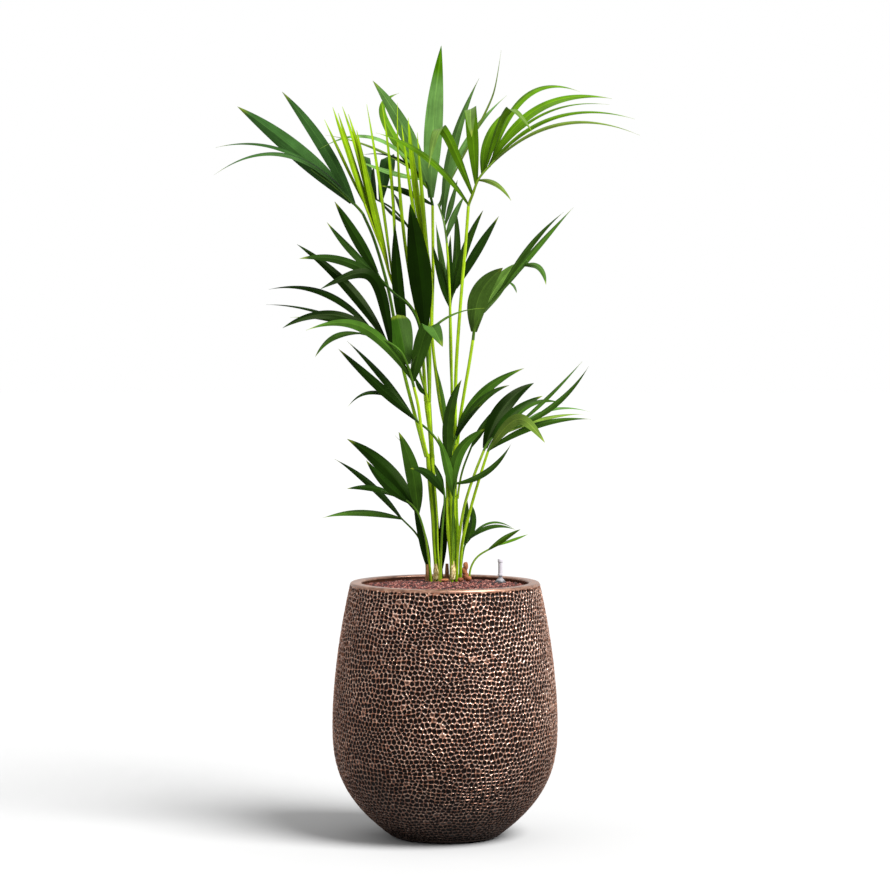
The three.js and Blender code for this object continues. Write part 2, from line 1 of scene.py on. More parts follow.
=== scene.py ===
# %% [markdown]
# A potted kentia palm: two clusters of stems with arching fronds, in a tall egg-shaped planter
# with a dimpled bronze skin, filled with red clay granules. The imported CAD model is the frame
# that everything is fitted to, so it is loaded first.

# %% Load the frame
import math

import bpy
import numpy as np
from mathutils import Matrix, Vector


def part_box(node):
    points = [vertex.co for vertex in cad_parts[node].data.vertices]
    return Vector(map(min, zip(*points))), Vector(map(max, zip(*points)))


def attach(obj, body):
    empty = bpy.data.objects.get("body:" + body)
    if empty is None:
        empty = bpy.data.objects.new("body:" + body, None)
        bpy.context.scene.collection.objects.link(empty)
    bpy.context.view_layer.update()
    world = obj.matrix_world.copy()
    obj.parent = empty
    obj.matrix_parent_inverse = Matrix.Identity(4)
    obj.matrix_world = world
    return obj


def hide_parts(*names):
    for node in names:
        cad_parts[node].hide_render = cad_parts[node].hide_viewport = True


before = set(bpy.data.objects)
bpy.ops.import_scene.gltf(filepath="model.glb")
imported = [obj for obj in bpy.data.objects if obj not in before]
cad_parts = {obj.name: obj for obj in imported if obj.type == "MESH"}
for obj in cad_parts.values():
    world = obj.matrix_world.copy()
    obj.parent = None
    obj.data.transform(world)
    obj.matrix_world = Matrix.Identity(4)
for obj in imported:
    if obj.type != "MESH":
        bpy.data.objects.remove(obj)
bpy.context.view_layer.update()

print("CAD nodes:", len(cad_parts))

# %% [markdown]
# The camera comes next, because the palm was measured from one viewpoint: straight ahead, 7.5 m
# away and 1.2 m up, looking slightly down. A long lens from far away keeps the upright lines of
# the planter nearly parallel, as a product picture has them. A white world stands in for a studio
# tent. The key lamp is far away and as wide as a large softbox: it lights the whole floor alike,
# draws the highlight down the planter's right half and throws the soft shadow to the left.

# %% Camera and lamp
MM = 0.001
VIEWER_DISTANCE = 7500
VIEWER_HEIGHT = 1216
PITCH_DOWN = 2.72
LENS = 139.1
KEY_FROM = Vector((1.0, -0.85, 1.45))
KEY_POWER = 7.4
KEY_WIDTH = 34


def new_object(name, data):
    """An object in the scene, at the origin unless it is moved later."""
    made = bpy.data.objects.new(name, data)
    bpy.context.scene.collection.objects.link(made)
    return made


camera = new_object("viewer", bpy.data.cameras.new("viewer"))
camera.data.lens = LENS
camera.location = (0, -VIEWER_DISTANCE * MM, VIEWER_HEIGHT * MM)
camera.rotation_euler = (math.radians(90 - PITCH_DOWN), 0, 0)
bpy.context.scene.camera = camera
bpy.context.scene.view_settings.view_transform = "Standard"

world = bpy.data.worlds.new("studio")
world.use_nodes = True
world.node_tree.nodes["Background"].inputs["Color"].default_value = (1, 1, 1, 1)
world.node_tree.nodes["Background"].inputs["Strength"].default_value = 1.0
bpy.context.scene.world = world

key = new_object("key", bpy.data.lights.new("key", "SUN"))
key.data.energy = KEY_POWER
key.data.angle = math.radians(KEY_WIDTH)
key.rotation_euler = (-KEY_FROM).to_track_quat("-Z", "Y").to_euler()
print("camera height", camera.location.z)

# %% [markdown]
# Finishes are node trees. A few small helpers keep them short to read: one adds a node and sets
# its inputs, one turns a screen colour, written as a code of six digits, into the linear values
# that light is reckoned in. A colour is such a code, a grey, or three linear values.

# %% Helpers for finishes
NOISE_ROUGHNESS = 0.55


def linear(code):
    """The linear colour of a screen colour such as '2c6420', by the usual two-part curve."""
    share = np.array([int(code[i : i + 2], 16) for i in (0, 2, 4)]) / 255
    return np.where(share <= 0.04045, share / 12.92, ((share + 0.055) / 1.055) ** 2.4)


def opaque(colour):
    """Red, green, blue and 1 for a code, a grey or three linear values."""
    if isinstance(colour, str):
        colour = linear(colour)
    return (*(colour if np.ndim(colour) else (colour,) * 3), 1)


class Finish:
    """A material whose tree is written from left to right, one call for each node."""

    def __init__(self, name):
        self.material = bpy.data.materials.new(name)
        self.material.use_nodes = True
        self.tree = self.material.node_tree
        self.shader = self.tree.nodes["Principled BSDF"]

    def put(self, socket, value):
        if isinstance(value, bpy.types.NodeSocket):
            self.tree.links.new(value, socket)
        else:
            socket.default_value = value

    def node(self, kind, out=0, **settings):
        """A new node. A setting that starts with in_ names or numbers one of its inputs."""
        node = self.tree.nodes.new(kind)
        for key, value in settings.items():
            if key.startswith("in_"):
                name = key[3:]
                self.put(node.inputs[int(name) if name.isdigit() else name], value)
            else:
                setattr(node, key, value)
        return node.outputs[out]

    def set(self, **sockets):
        """Inputs of the shader, with underscores for the spaces in their names."""
        for key, value in sockets.items():
            self.put(self.shader.inputs[key.replace("_", " ")], value)

    def attribute(self, name, out="Vector"):
        return self.node("ShaderNodeAttribute", out, attribute_name=name)

    def place(self, scale=(1, 1, 1), source=None):
        """Object coordinates, or another vector, stretched by a scale."""
        vector = source or self.node("ShaderNodeTexCoord", "Object")
        return self.node("ShaderNodeMapping", in_Vector=vector, in_Scale=scale)

    def axis(self, number, vector):
        return self.node("ShaderNodeSeparateXYZ", number, in_Vector=vector)

    def noise(self, vector, scale, detail=3.0):
        settings = {"in_Scale": scale, "in_Detail": detail, "in_Roughness": NOISE_ROUGHNESS}
        return self.node("ShaderNodeTexNoise", in_Vector=vector, **settings)

    def fibres(self, scale, detail):
        """Noise drawn out along the grain that is kept with the points of a limb or a leaf."""
        return self.noise(self.place(scale, self.attribute("grain")), 1.0, detail)

    def ramp(self, value, *stops):
        """A colour or grey for each (place, colour) stop."""
        node = self.tree.nodes.new("ShaderNodeValToRGB")
        self.put(node.inputs[0], value)
        while len(node.color_ramp.elements) < len(stops):
            node.color_ramp.elements.new(0.5)
        for element, (at, colour) in zip(node.color_ramp.elements, stops):
            element.position = at
            element.color = opaque(colour)
        return node.outputs[0]

    def mix(self, share, a, b, blend="MIX"):
        node = self.tree.nodes.new("ShaderNodeMix")
        node.data_type = "RGBA"
        node.blend_type = blend
        self.put(node.inputs[0], share)
        for socket, value in ((node.inputs[6], a), (node.inputs[7], b)):
            self.put(socket, value if isinstance(value, bpy.types.NodeSocket) else opaque(value))
        return node.outputs[2]

    def times(self, a, b):
        return self.mix(1.0, a, b, "MULTIPLY")

    def math(self, kind, a, b=0.0, c=0.0, clamp=False):
        return self.node("ShaderNodeMath", operation=kind, use_clamp=clamp, in_0=a, in_1=b, in_2=c)

    def ranged(self, value, low, high, to_low, to_high):
        """A value carried from one range to another and held at its ends."""
        ends = {"in_1": low, "in_2": high, "in_3": to_low, "in_4": to_high}
        return self.node("ShaderNodeMapRange", in_0=value, **ends)

    def bump(self, height, strength, distance):
        settings = {"in_Height": height, "in_Strength": strength, "in_Distance": distance}
        self.set(Normal=self.node("ShaderNodeBump", **settings))


print("leaf green", linear("2c6420").round(3))

# %% [markdown]
# Every new piece is a surface worked out with numpy: rows of points carried along a path, or
# round an axis, as whole arrays. These helpers make such rows, close them at both ends, and put
# the result in a mesh whose object stays at the origin. The sizes are millimetres until then.

# %% Helpers for meshes
ON_AXIS = 0.01


def unit(vectors):
    return vectors / np.maximum(np.linalg.norm(vectors, axis=-1, keepdims=True), 1e-9)


def smoothstep(x):
    x = np.clip(x, 0, 1)
    return x * x * (3 - 2 * x)


def length_along(line):
    """How far along a line of points each of them lies."""
    return np.concatenate([[0], np.cumsum(np.linalg.norm(np.diff(line, axis=0), axis=1))])


def read_off(at, known, values):
    """Each column of values, read off at places between the known ones."""
    return np.stack([np.interp(at, known, column) for column in np.transpose(values)], -1)


def spaced(shares, values):
    """Evenly spaced values read off at shares of the whole length, one row for each share."""
    rows = np.reshape(np.array(values, float), (len(values), -1))
    return read_off(shares, np.linspace(0, 1, len(values)), rows)


def circle(sides):
    """The angles of points spaced evenly round a circle."""
    return np.arange(sides) * 2 * np.pi / sides


def around_axis(radius, angle, z):
    """Points (radius cos angle, radius sin angle, z) in the shape the three make together."""
    return np.stack(np.broadcast_arrays(radius * np.cos(angle), radius * np.sin(angle), z), -1)


def turned(profile, sides):
    """A profile of (radius, height) points carried round the upright axis."""
    profile = np.asarray(profile, float)
    return around_axis(profile[:, :1], circle(sides), profile[:, 1:])


def volume_of(points, quads, tris):
    """Signed volume: a sixth of the sum of a . (b x c) over the triangles."""
    every = np.concatenate([quads[:, [0, 1, 2]], quads[:, [0, 2, 3]], tris])
    a, b, c = (points[every[:, k]] for k in range(3))
    return np.einsum("ij,ij->", a, np.cross(b, c)) / 6


def shell(rings, hoop=False, **layers):
    """A closed skin over rings of points [station, side]: quads between neighbours and a fan to
    the middle of each end ring. On a hoop the last ring joins the first instead. Layers are
    values for each ring point; an end's middle takes its ring's mean."""
    stations, sides = rings.shape[:2]
    points = rings.reshape(-1, 3)
    layers = {key: np.reshape(value, (stations * sides, -1)) for key, value in layers.items()}
    steps = stations if hoop else stations - 1
    j, i = np.meshgrid(np.arange(steps), np.arange(sides), indexing="ij")
    a, b = j * sides + i, j * sides + (i + 1) % sides
    up = ((j + 1) % stations - j) * sides
    quads = np.stack([a, b, b + up, a + up], -1).reshape(-1, 4)
    tris = np.zeros((0, 3), int)
    if not hoop:
        first = np.arange(sides)
        last = first + len(points) - sides
        low, high = (np.full(sides, len(points) + end) for end in (0, 1))
        fans = (low, np.roll(first, -1), first), (high, last, np.roll(last, -1))
        tris = np.concatenate([np.stack(fan, -1) for fan in fans])
        points = np.concatenate([points, [rings[0].mean(0), rings[-1].mean(0)]])
        for key, value in layers.items():
            layers[key] = np.concatenate([value, [value[:sides].mean(0), value[-sides:].mean(0)]])
    if volume_of(points, quads, tris) < 0:
        quads, tris = quads[:, ::-1], tris[:, ::-1]
    return {"points": points, "quads": quads, "tris": tris, "layers": layers}


def joined(parts):
    """Several skins as one, the face numbers moved up by the points that come before. A part's
    finish is its place in the piece's list of finishes, the first where it gives none."""
    starts = np.cumsum([0] + [len(part["points"]) for part in parts[:-1]])
    whole = {"points": np.concatenate([part["points"] for part in parts])}
    for kind in ("quads", "tris"):
        whole[kind] = np.concatenate([part[kind] + start for part, start in zip(parts, starts)])
        finish = [np.full(len(part[kind]), part.get("finish", 0)) for part in parts]
        whole[f"{kind}_finish"] = np.concatenate(finish)
    keys = parts[0]["layers"]
    whole["layers"] = {key: np.concatenate([part["layers"][key] for part in parts]) for key in keys}
    return whole


def put_piece(name, skin, finishes, node, sharp=55):
    """One mesh object at the origin, riding on the body, in place of the CAD node it names.
    Edges that turn by more than the sharp angle, in degrees, aren't smoothed."""
    mesh = bpy.data.meshes.new(name)
    quads, tris = skin["quads"], skin["tris"]
    mesh.vertices.add(len(skin["points"]))
    mesh.vertices.foreach_set("co", (skin["points"] * MM).astype(np.float32).ravel())
    corners = np.concatenate([quads.ravel(), tris.ravel()]).astype(np.int32)
    starts = np.concatenate([np.arange(len(quads)) * 4, 4 * len(quads) + np.arange(len(tris)) * 3])
    mesh.loops.add(len(corners))
    mesh.loops.foreach_set("vertex_index", corners)
    mesh.polygons.add(len(starts))
    mesh.polygons.foreach_set("loop_start", starts.astype(np.int32))
    if "quads_finish" in skin:
        which = np.concatenate([skin["quads_finish"], skin["tris_finish"]])
        mesh.polygons.foreach_set("material_index", which.astype(np.int32))
    mesh.update(calc_edges=True)
    for key, value in skin["layers"].items():
        if value.shape[1] == 1:
            mesh.attributes.new(key, "FLOAT", "POINT").data.foreach_set("value", value.ravel())
        elif key == "tint":
            rgba = np.concatenate([value, np.ones((len(value), 1))], 1)
            mesh.attributes.new(key, "FLOAT_COLOR", "POINT").data.foreach_set("color", rgba.ravel())
        else:
            mesh.attributes.new(key, "FLOAT_VECTOR", "POINT").data.foreach_set("vector", value.ravel())
    mesh.shade_smooth()
    mesh.set_sharp_from_angle(angle=math.radians(sharp))
    for finish in finishes:
        mesh.materials.append(finish.material)
    piece = new_object(name, mesh)
    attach(piece, "root")
    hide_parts(node)


def triangles(skin):
    return 2 * len(skin["quads"]) + len(skin["tris"])


print("sides of a small circle", circle(4).round(2))

# %% [markdown]
# The floor is only the stage: a wide pale plane. It isn't part of the object.

# %% Floor
FLOOR_REACH = 30
FLOOR_CORNERS = ((-1, -1), (1, -1), (1, 1), (-1, 1))
floor_finish = Finish("studio_floor")
speck = floor_finish.noise(floor_finish.place(), 3.0)
floor_finish.set(
    Base_Color=floor_finish.ramp(speck, (0.3, 0.38), (0.7, 0.385)),
    Roughness=1.0,
    Specular_IOR_Level=0.0,
)
floor_mesh = bpy.data.meshes.new("floor")
corners = [(x * FLOOR_REACH, y * FLOOR_REACH, 0) for x, y in FLOOR_CORNERS]
floor_mesh.from_pydata(corners, [], [(0, 1, 2, 3)])
floor_mesh.materials.append(floor_finish.material)
floor = new_object("floor", floor_mesh)
print("floor", 2 * FLOOR_REACH, "m wide")

# %% [markdown]
# The planter is a wall turned about an upright axis: widest a little below half its height, drawn
# in to a small foot and to a slightly narrower rim. The two powers below set how quickly it
# draws in above and below the belly.

# %% The planter's outline
POT_HEIGHT = 560
BELLY_RADIUS = 247
BELLY_HEIGHT = 250
RIM_RADIUS = 207
FOOT_RADIUS = 112
FOOT_TOP = 5
WALL = 24
SHOULDER_CURVE = 1.76
FOOT_CURVE = 2.67
BED_EDGE = 549
BED_RISE = 7
CLEAR = 0.3


def outer_radius(z):
    """Belly radius less a power of how far the height is from the belly, toward rim or foot."""
    z = np.asarray(z, float)
    above = np.clip((z - BELLY_HEIGHT) / (POT_HEIGHT - BELLY_HEIGHT), 0, 1)
    below = np.clip((BELLY_HEIGHT - z) / BELLY_HEIGHT, 0, 1)
    return (
        BELLY_RADIUS
        - (BELLY_RADIUS - RIM_RADIUS) * above**SHOULDER_CURVE
        - (BELLY_RADIUS - FOOT_RADIUS) * below**FOOT_CURVE
    )


def beside(z, inset):
    """Profile points at heights z, set in from the outline."""
    return np.stack([outer_radius(z) - inset, z], 1)


print("belly width", 2 * float(outer_radius(BELLY_HEIGHT)))

# %% [markdown]
# Its skin is covered in thousands of thumb-print pits, a centimetre apart, in wavering rows, with
# thin worn ridges between them. A bump map would leave the outline smooth and the pits without
# real shadow, so the pits are moved points. Each point of a fine grid on the wall looks up its
# nearest and second nearest pit middle: where the two are equally far there is a ridge, and the
# wall sinks toward a middle from there. The finish takes two things from here: the share of the
# way down, and how much a point lies on the lower lip of its pit, where the share grows upward.
# That lip faces up, and the finish paints a highlight on it.

# %% Dimples
PIT_PITCH = 10.6
ROW_PITCH = 9.7
PIT_DEPTH = 3.2
PIT_STRAY = 0.24
ROW_STRAY = 0.22
PIT_FLATTENED = 1.06
ROW_WAVES = ((3.1, 3, 41), (2.2, 7, -23), (1.5, 17, 15))
RIDGE = 0.36
FILLED_FROM = 0.965
FILLED_DEPTH = 0.45
LEAST_DEPTH = 0.8
DEPTH_SPREAD = 0.3
FADE_AT_RIM = 3
FADE_AT_FOOT = 5
LIP = 5.5
# The upward-facing lower lips of the pits, which take a painted highlight:
LIP_GAIN = 2.5
LIP_WIDTH = 0.55
WALL_STEP = 1.62
WALL_SIDES = 944
SHELL_THICK = 7
pits = np.random.default_rng(7)

heights = np.linspace(FOOT_TOP, POT_HEIGHT - LIP, 4000)
along_wall = length_along(beside(heights, 0))
wall_rows = int(along_wall[-1] / WALL_STEP)
row_at = np.linspace(0, along_wall[-1], wall_rows)
row_height = np.interp(row_at, along_wall, heights)
row_radius = outer_radius(row_height)
pit_rows = int(along_wall[-1] / ROW_PITCH) + 3
pit_radius = np.interp(np.arange(-1, pit_rows - 1) * ROW_PITCH, along_wall, outer_radius(heights))
pit_count = np.round(2 * np.pi * pit_radius / PIT_PITCH).astype(int)
pit_shift = 0.5 * (np.arange(pit_rows) % 2) + pits.uniform(0, 0.2, pit_rows)
pit_jitter = pits.uniform(-1, 1, (pit_rows, pit_count.max(), 2))
pit_size = pits.uniform(0.84, 1.16, (pit_rows, pit_count.max()))
pit_fill = pits.random((pit_rows, pit_count.max()))


def pit_share(at, angle):
    """How far down in a pit a wall point is, 0 on a ridge and 1 in a pit's middle: a smooth step
    of second nearest less nearest distance. Also how filled its nearest pit is."""
    radius = np.interp(at, along_wall, outer_radius(heights))
    wave = sum(high * np.sin(turns * angle + at / long) for high, turns, long in ROW_WAVES)
    line = (at + wave) / ROW_PITCH + 1
    row0 = np.floor(line).astype(int)
    nearest = np.full(at.shape, 9e9)
    second = nearest.copy()
    filled = np.zeros(at.shape)
    for d_row in (-1, 0, 1):
        row = np.clip(row0 + d_row, 0, pit_rows - 1)
        count = pit_count[row]
        turn = angle / (2 * np.pi) * count + pit_shift[row]
        for d_pit in (-1, 0, 1):
            cell = np.floor(turn).astype(int) + d_pit
            jitter = pit_jitter[row, cell % count]
            across = (turn - cell - 0.5 - PIT_STRAY * jitter[..., 0]) * 2 * np.pi * radius / count
            up = (line - row - 0.5 - ROW_STRAY * jitter[..., 1]) * ROW_PITCH
            far = np.hypot(across, up * PIT_FLATTENED) / pit_size[row, cell % count]
            closer = far < nearest
            second = np.where(closer, nearest, np.minimum(second, far))
            filled = np.where(closer, pit_fill[row, cell % count], filled)
            nearest = np.where(closer, far, nearest)
    return smoothstep((second - nearest) / (RIDGE * PIT_PITCH)), filled


wall_angle = circle(WALL_SIDES)
grid_at, grid_angle = np.meshgrid(row_at, wall_angle, indexing="ij")
share, filled = pit_share(grid_at, grid_angle)
from_rim = along_wall[-1] - grid_at
edge_fade = smoothstep(from_rim / FADE_AT_RIM) * smoothstep(grid_at / FADE_AT_FOOT)
share = share * edge_fade * np.where(filled > FILLED_FROM, FILLED_DEPTH, 1.0)
slope = np.gradient(row_radius, row_height)[:, None]
tilt = np.hypot(1, slope)
depth = PIT_DEPTH * share * (LEAST_DEPTH + DEPTH_SPREAD * filled)
wall_z = row_height[:, None] + depth * slope / tilt
wall_grid = around_axis(row_radius[:, None] - depth / tilt, grid_angle, wall_z)
# How much a point lies on the upward-facing lower lip of its pit, where a highlight is painted.
rising = np.clip(LIP_GAIN * np.gradient(share, axis=0), 0, 1)
lip = rising * (1 - smoothstep(share / LIP_WIDTH))
print("wall grid", wall_grid.shape[:2], "pits", pit_count.sum())

# %% [markdown]
# The finish is aged bronze: nearly black in the pits, and rubbed to warm copper on the ridges,
# more in some areas than in others. The kept share of the way down chooses between the two, and
# a slow noise over the whole planter decides how far each area is rubbed. The lower lips, which
# face up, carry a pale painted highlight, stronger in some areas. Painted shade darkens the
# planter toward the foot, and painted light lifts it a little toward the rim.

# %% Bronze finish
# The height, in metres, over which the painted shade and light are spread.
PAINTED_LIGHT_TOP = 0.5
bronze = Finish("aged_bronze")
down = bronze.attribute("pit", "Fac")
slow = bronze.noise(bronze.place(), 9.0, 2.0)
quick = bronze.noise(bronze.place(), 170.0)
# Painted shade toward the foot, and painted light toward the rim, by height.
level = bronze.math("DIVIDE", bronze.axis(2, bronze.place()), PAINTED_LIGHT_TOP)
painted_shade_and_light = bronze.ramp(level, (0.02, 0.1), (0.16, 0.42), (0.5, 1.0), (1.0, (1.14, 1.19, 1.24)))
copper = bronze.ramp(quick, (0.34, "462216"), (0.5, "8c5840"), (0.68, "e6bca2"))
worn = bronze.mix(bronze.ramp(slow, (0.35, 0.0), (0.68, 0.5)), copper, "8c5a42")
hollow = bronze.ramp(quick, (0.35, "040201"), (0.7, "150a06"))
edge = bronze.math("ADD", down, bronze.math("MULTIPLY_ADD", slow, 0.26, -0.13), clamp=True)
aged = bronze.mix(bronze.ramp(edge, (0.16, 0.0), (0.46, 1.0)), worn, hollow)
# A pale painted highlight on the upward-facing lower lips, stronger in some areas.
lip_highlight_strength = bronze.ramp(slow, (0.35, 0.9), (0.65, 0.5))
pale = bronze.math("MULTIPLY", bronze.attribute("lip", "Fac"), lip_highlight_strength)
bronze.set(
    Base_Color=bronze.times(bronze.mix(pale, aged, "f2d8c8"), painted_shade_and_light),
    Metallic=bronze.ramp(edge, (0.25, 0.6), (0.5, 0.0)),
    Roughness=bronze.ramp(edge, (0.2, 0.26), (0.7, 0.36)),
    Specular_IOR_Level=bronze.ramp(edge, (0.3, 0.5), (0.6, 0.12)),
    Specular_Tint=(0.55, 0.5, 0.5, 1.0),
)

lining = Finish("planter_lining")
streaks = lining.noise(lining.place((1, 1, 4)), 14.0)
lining.set(
    Base_Color=lining.ramp(streaks, (0.3, "4a2c20"), (0.7, "6e4634")),
    Roughness=lining.ramp(streaks, (0.3, 0.22), (0.7, 0.36)),
    Metallic=0.1,
)
print("finishes", bronze.material.name, lining.material.name)

# %% [markdown]
# Such a fine grid is too large for one mesh, so the wall is four hoops that meet edge to edge.
# Each is a closed ring: the dimpled face outside, two plain rings behind it.

# %% Wall hoops
BANDS = ("low", "middle", "upper", "top")
for number, band in enumerate(BANDS):
    first, last = (round(end / len(BANDS) * (wall_rows - 1)) for end in (number, number + 1))
    rows, ends = slice(first, last + 1), [last, first]
    inner = row_radius[ends, None] - SHELL_THICK
    behind = around_axis(inner, wall_angle, row_height[ends, None])
    hoop = shell(
        np.concatenate([wall_grid[rows], behind]),
        hoop=True,
        pit=np.concatenate([share[rows], np.ones((2, WALL_SIDES))]),
        lip=np.concatenate([lip[rows], np.zeros((2, WALL_SIDES))]),
    )
    put_piece(f"planter_wall_{band}", hoop, [bronze], "planter", sharp=70)
    print("planter wall", band, triangles(hoop), "triangles")

# %% [markdown]
# Above the pits the wall ends in a plain rounded lip, rubbed bright, that turns over into a dark
# lining. Below, the foot is a shallow plate in the dark colour of the pits: painted shade under
# the belly. Both are profiles turned about the axis.

# %% Rim and foot
RIM_SIDES = 240
LIP_ROUND = 4
LINING_END = 500
FOOT_FLAT = FOOT_RADIUS - 8
FOOT_PLATE = 26
# The foot's share of the dark pit colour, which is painted shade under the belly.
FOOT_SHADE_SHARE = 0.6

turn_over = np.linspace(0, np.pi / 2, 7)
bend_in, bend_down = LIP_ROUND * (1 - np.cos(turn_over)), LIP_ROUND * (1 - np.sin(turn_over))
lip_and_rounds = [
    beside(np.linspace(POT_HEIGHT - LIP, POT_HEIGHT - LIP_ROUND, 4), 0.2),
    np.stack([RIM_RADIUS - bend_in, POT_HEIGHT - bend_down], 1)[1:],
    np.stack([RIM_RADIUS - WALL + bend_down, POT_HEIGHT - bend_in], 1),
]
inner_wall = beside(np.linspace(POT_HEIGHT - LIP_ROUND - 1, LINING_END, 12), WALL)
behind = [
    (outer_radius(LINING_END) - SHELL_THICK - 1, LINING_END),
    (RIM_RADIUS - SHELL_THICK - 1, POT_HEIGHT - LIP),
]
rim_profile = np.concatenate([*lip_and_rounds, inner_wall, behind])
inside = np.arange(len(rim_profile)) >= sum(len(points) for points in lip_and_rounds)
rim = shell(turned(rim_profile, RIM_SIDES), hoop=True)
rim["quads_finish"] = np.repeat(inside, RIM_SIDES).astype(int)
rim["tris_finish"] = np.zeros(0, int)

rim_bronze = Finish("rubbed_rim")
grain = rim_bronze.noise(rim_bronze.place((1, 1, 3)), 60.0, 4.0)
rim_bronze.set(
    Base_Color=rim_bronze.ramp(grain, (0.3, "5c4034"), (0.55, "856250"), (0.75, "a88672")),
    Metallic=0.6,
    Roughness=rim_bronze.ramp(grain, (0.3, 0.3), (0.7, 0.46)),
)
put_piece("planter_rim", rim, [rim_bronze, lining], "planter", sharp=60)

curl = 1.5 * np.linspace(0, 1, 6)[1:]
foot_top_radius = float(outer_radius(FOOT_TOP))
foot_profile = np.concatenate(
    [
        [(ON_AXIS, 0), (FOOT_FLAT, 0)],
        np.stack([FOOT_FLAT + 6 * np.sin(curl), 3 * (1 - np.cos(curl))], 1),
        [(foot_top_radius - 0.6, FOOT_TOP), (foot_top_radius - 10, FOOT_PLATE), (ON_AXIS, FOOT_PLATE)],
    ]
)
foot_rings = turned(foot_profile, RIM_SIDES)
grid = foot_rings.shape[:2]
# The foot takes the dark colour of the pits as painted shade under the belly.
foot = shell(foot_rings, pit=np.full(grid, FOOT_SHADE_SHARE), lip=np.zeros(grid))
put_piece("planter_foot", foot, [bronze], "planter")
print("rim", triangles(rim), "foot", triangles(foot))

# %% [markdown]
# The planter is filled with fired-clay granules. Thousands of small stones are one mesh: a lump
# of twenty faces, turned and stretched at random for each stone and laid on the bed's gentle
# dome in an even spiral, over a dark disc that closes the gaps as painted shade between them.
# Each stone is dealt one plain colour.

# %% Granules
STONE_ACROSS = 6.4
STONE_DENSITY = 4.6
STONE_MARGIN = 3.2
STONE_SIZES = (0.7, 1.2)
STONE_DENTS = (0.72, 1.12)
STONE_STRETCH = (0.8, 1.15)
STONE_SINK = (-0.5, 1.6)
STONE_COLOURS = ("5a2018", "703026", "380f0c", "8a4e42", "461816", "a87064", "1e0908")
BED_RADIUS = RIM_RADIUS - WALL
UNDER_DEPTH = 40
UNDER_GAP = 3
GOLD = (1 + math.sqrt(5)) / 2
GOLDEN_ANGLE = math.pi * (3 - math.sqrt(5))
stones = np.random.default_rng(11)


def bed_height(radius):
    """The bed is a little higher in the middle, falling with the square of the radius."""
    return BED_EDGE + BED_RISE * np.clip(1 - (radius / BED_RADIUS) ** 2, 0, 1)


oblong = np.array([(-1, GOLD, 0), (1, GOLD, 0), (-1, -GOLD, 0), (1, -GOLD, 0)])
lump = unit(np.concatenate([np.roll(oblong, k, axis=1) for k in range(3)]))
lump_faces = np.array(
    [(0, 11, 5), (0, 5, 1), (0, 1, 7), (0, 7, 10), (0, 10, 11), (1, 5, 9), (5, 11, 4), (11, 10, 2)]
    + [(10, 7, 6), (7, 1, 8), (3, 9, 4), (3, 4, 2), (3, 2, 6), (3, 6, 8), (3, 8, 9), (4, 9, 5)]
    + [(2, 4, 11), (6, 2, 10), (8, 6, 7), (9, 8, 1)]
)
count = int((BED_RADIUS / STONE_ACROSS) ** 2 * STONE_DENSITY)
each = np.arange(count)
ring_radius = (BED_RADIUS - STONE_MARGIN - 0.2) * np.sqrt((each + 0.5) / count)
ring_angle = each * GOLDEN_ANGLE + stones.normal(0, 0.01, count)
ring_radius = np.clip(ring_radius + stones.normal(0, 1.2, count), 0, BED_RADIUS - STONE_MARGIN)
turn, lean = stones.uniform(0, 2 * np.pi, (2, count, 1))
size = STONE_ACROSS / 2 * stones.uniform(*STONE_SIZES, (count, 1, 1))
body = lump * stones.uniform(*STONE_DENTS, (count, len(lump), 1)) * size
body = body * stones.uniform(*STONE_STRETCH, (count, 1, 3))
x, y, z = np.moveaxis(body, -1, 0)
y, z = y * np.cos(lean) - z * np.sin(lean), y * np.sin(lean) + z * np.cos(lean)
x, y = x * np.cos(turn) - y * np.sin(turn), x * np.sin(turn) + y * np.cos(turn)
sunk = 0.8 + stones.uniform(*STONE_SINK, (count, 1))
middles = around_axis(ring_radius, ring_angle, bed_height(ring_radius))
stone_points = np.stack([x, y, z - sunk], -1) + middles[:, None]
tones = np.array([linear(code) for code in STONE_COLOURS])
stone_tint = tones[stones.integers(0, len(tones), count)]
granules = {
    "points": stone_points.reshape(-1, 3),
    "quads": np.zeros((0, 4), int),
    "tris": (lump_faces + len(lump) * each[:, None, None]).reshape(-1, 3),
    "layers": {"tint": np.repeat(stone_tint, len(lump), 0)},
}

stone = Finish("clay_granule")
pores = stone.noise(stone.place(), 900.0)
porous = stone.ramp(pores, (0.3, 0.42), (0.7, 1.0))
stone.set(Base_Color=stone.times(stone.attribute("tint", "Color"), porous), Roughness=0.85)
stone.bump(pores, 0.6, 0.001)
put_piece("granules", granules, [stone], "granule_bed", sharp=30)

low = BED_EDGE - UNDER_DEPTH
under_profile = [(ON_AXIS, low), (BED_RADIUS - 1, low), (BED_RADIUS - 1, BED_EDGE - UNDER_GAP)]
under_profile += [(r, bed_height(r) - UNDER_GAP) for r in np.linspace(BED_RADIUS - 12, ON_AXIS, 12)]
under_rings = turned(under_profile, 96)
# The disc's dark brown is painted shade in the gaps between the stones.
under = shell(under_rings, tint=np.broadcast_to(linear("3a1c17"), under_rings.shape))
put_piece("granule_under", under, [stone], "granule_bed")
print("granules", count, "with", triangles(granules), "triangles")

# %% [markdown]
# A few larger lumps of clay lie against the stems. Each is a ball dented by four waves that run
# in random directions, and it is sized from the box of the CAD lump that it stands for. The
# fourth is tall, and is three such balls on top of one another.

# %% Clay pieces
BALLS = {1: 1, 2: 1, 3: 1, 4: 3}
BALL_RADIUS = 1.06
DENT = 0.14
STACKED_HEIGHT = 0.56
STACKED_ASIDE = 0.2
clay = Finish("fired_clay")
clay_fine = clay.noise(clay.place(), 420.0, 4.0)
clay_slow = clay.noise(clay.place(), 60.0)
baked = clay.ramp(clay_slow, (0.3, "6b3418"), (0.55, "94552f"), (0.75, "b07a4e"))
clay.set(Base_Color=clay.times(baked, clay.ramp(clay_fine, (0.3, 0.55), (0.65, 1.1))), Roughness=0.9)
clay.bump(clay_fine, 0.7, 0.002)


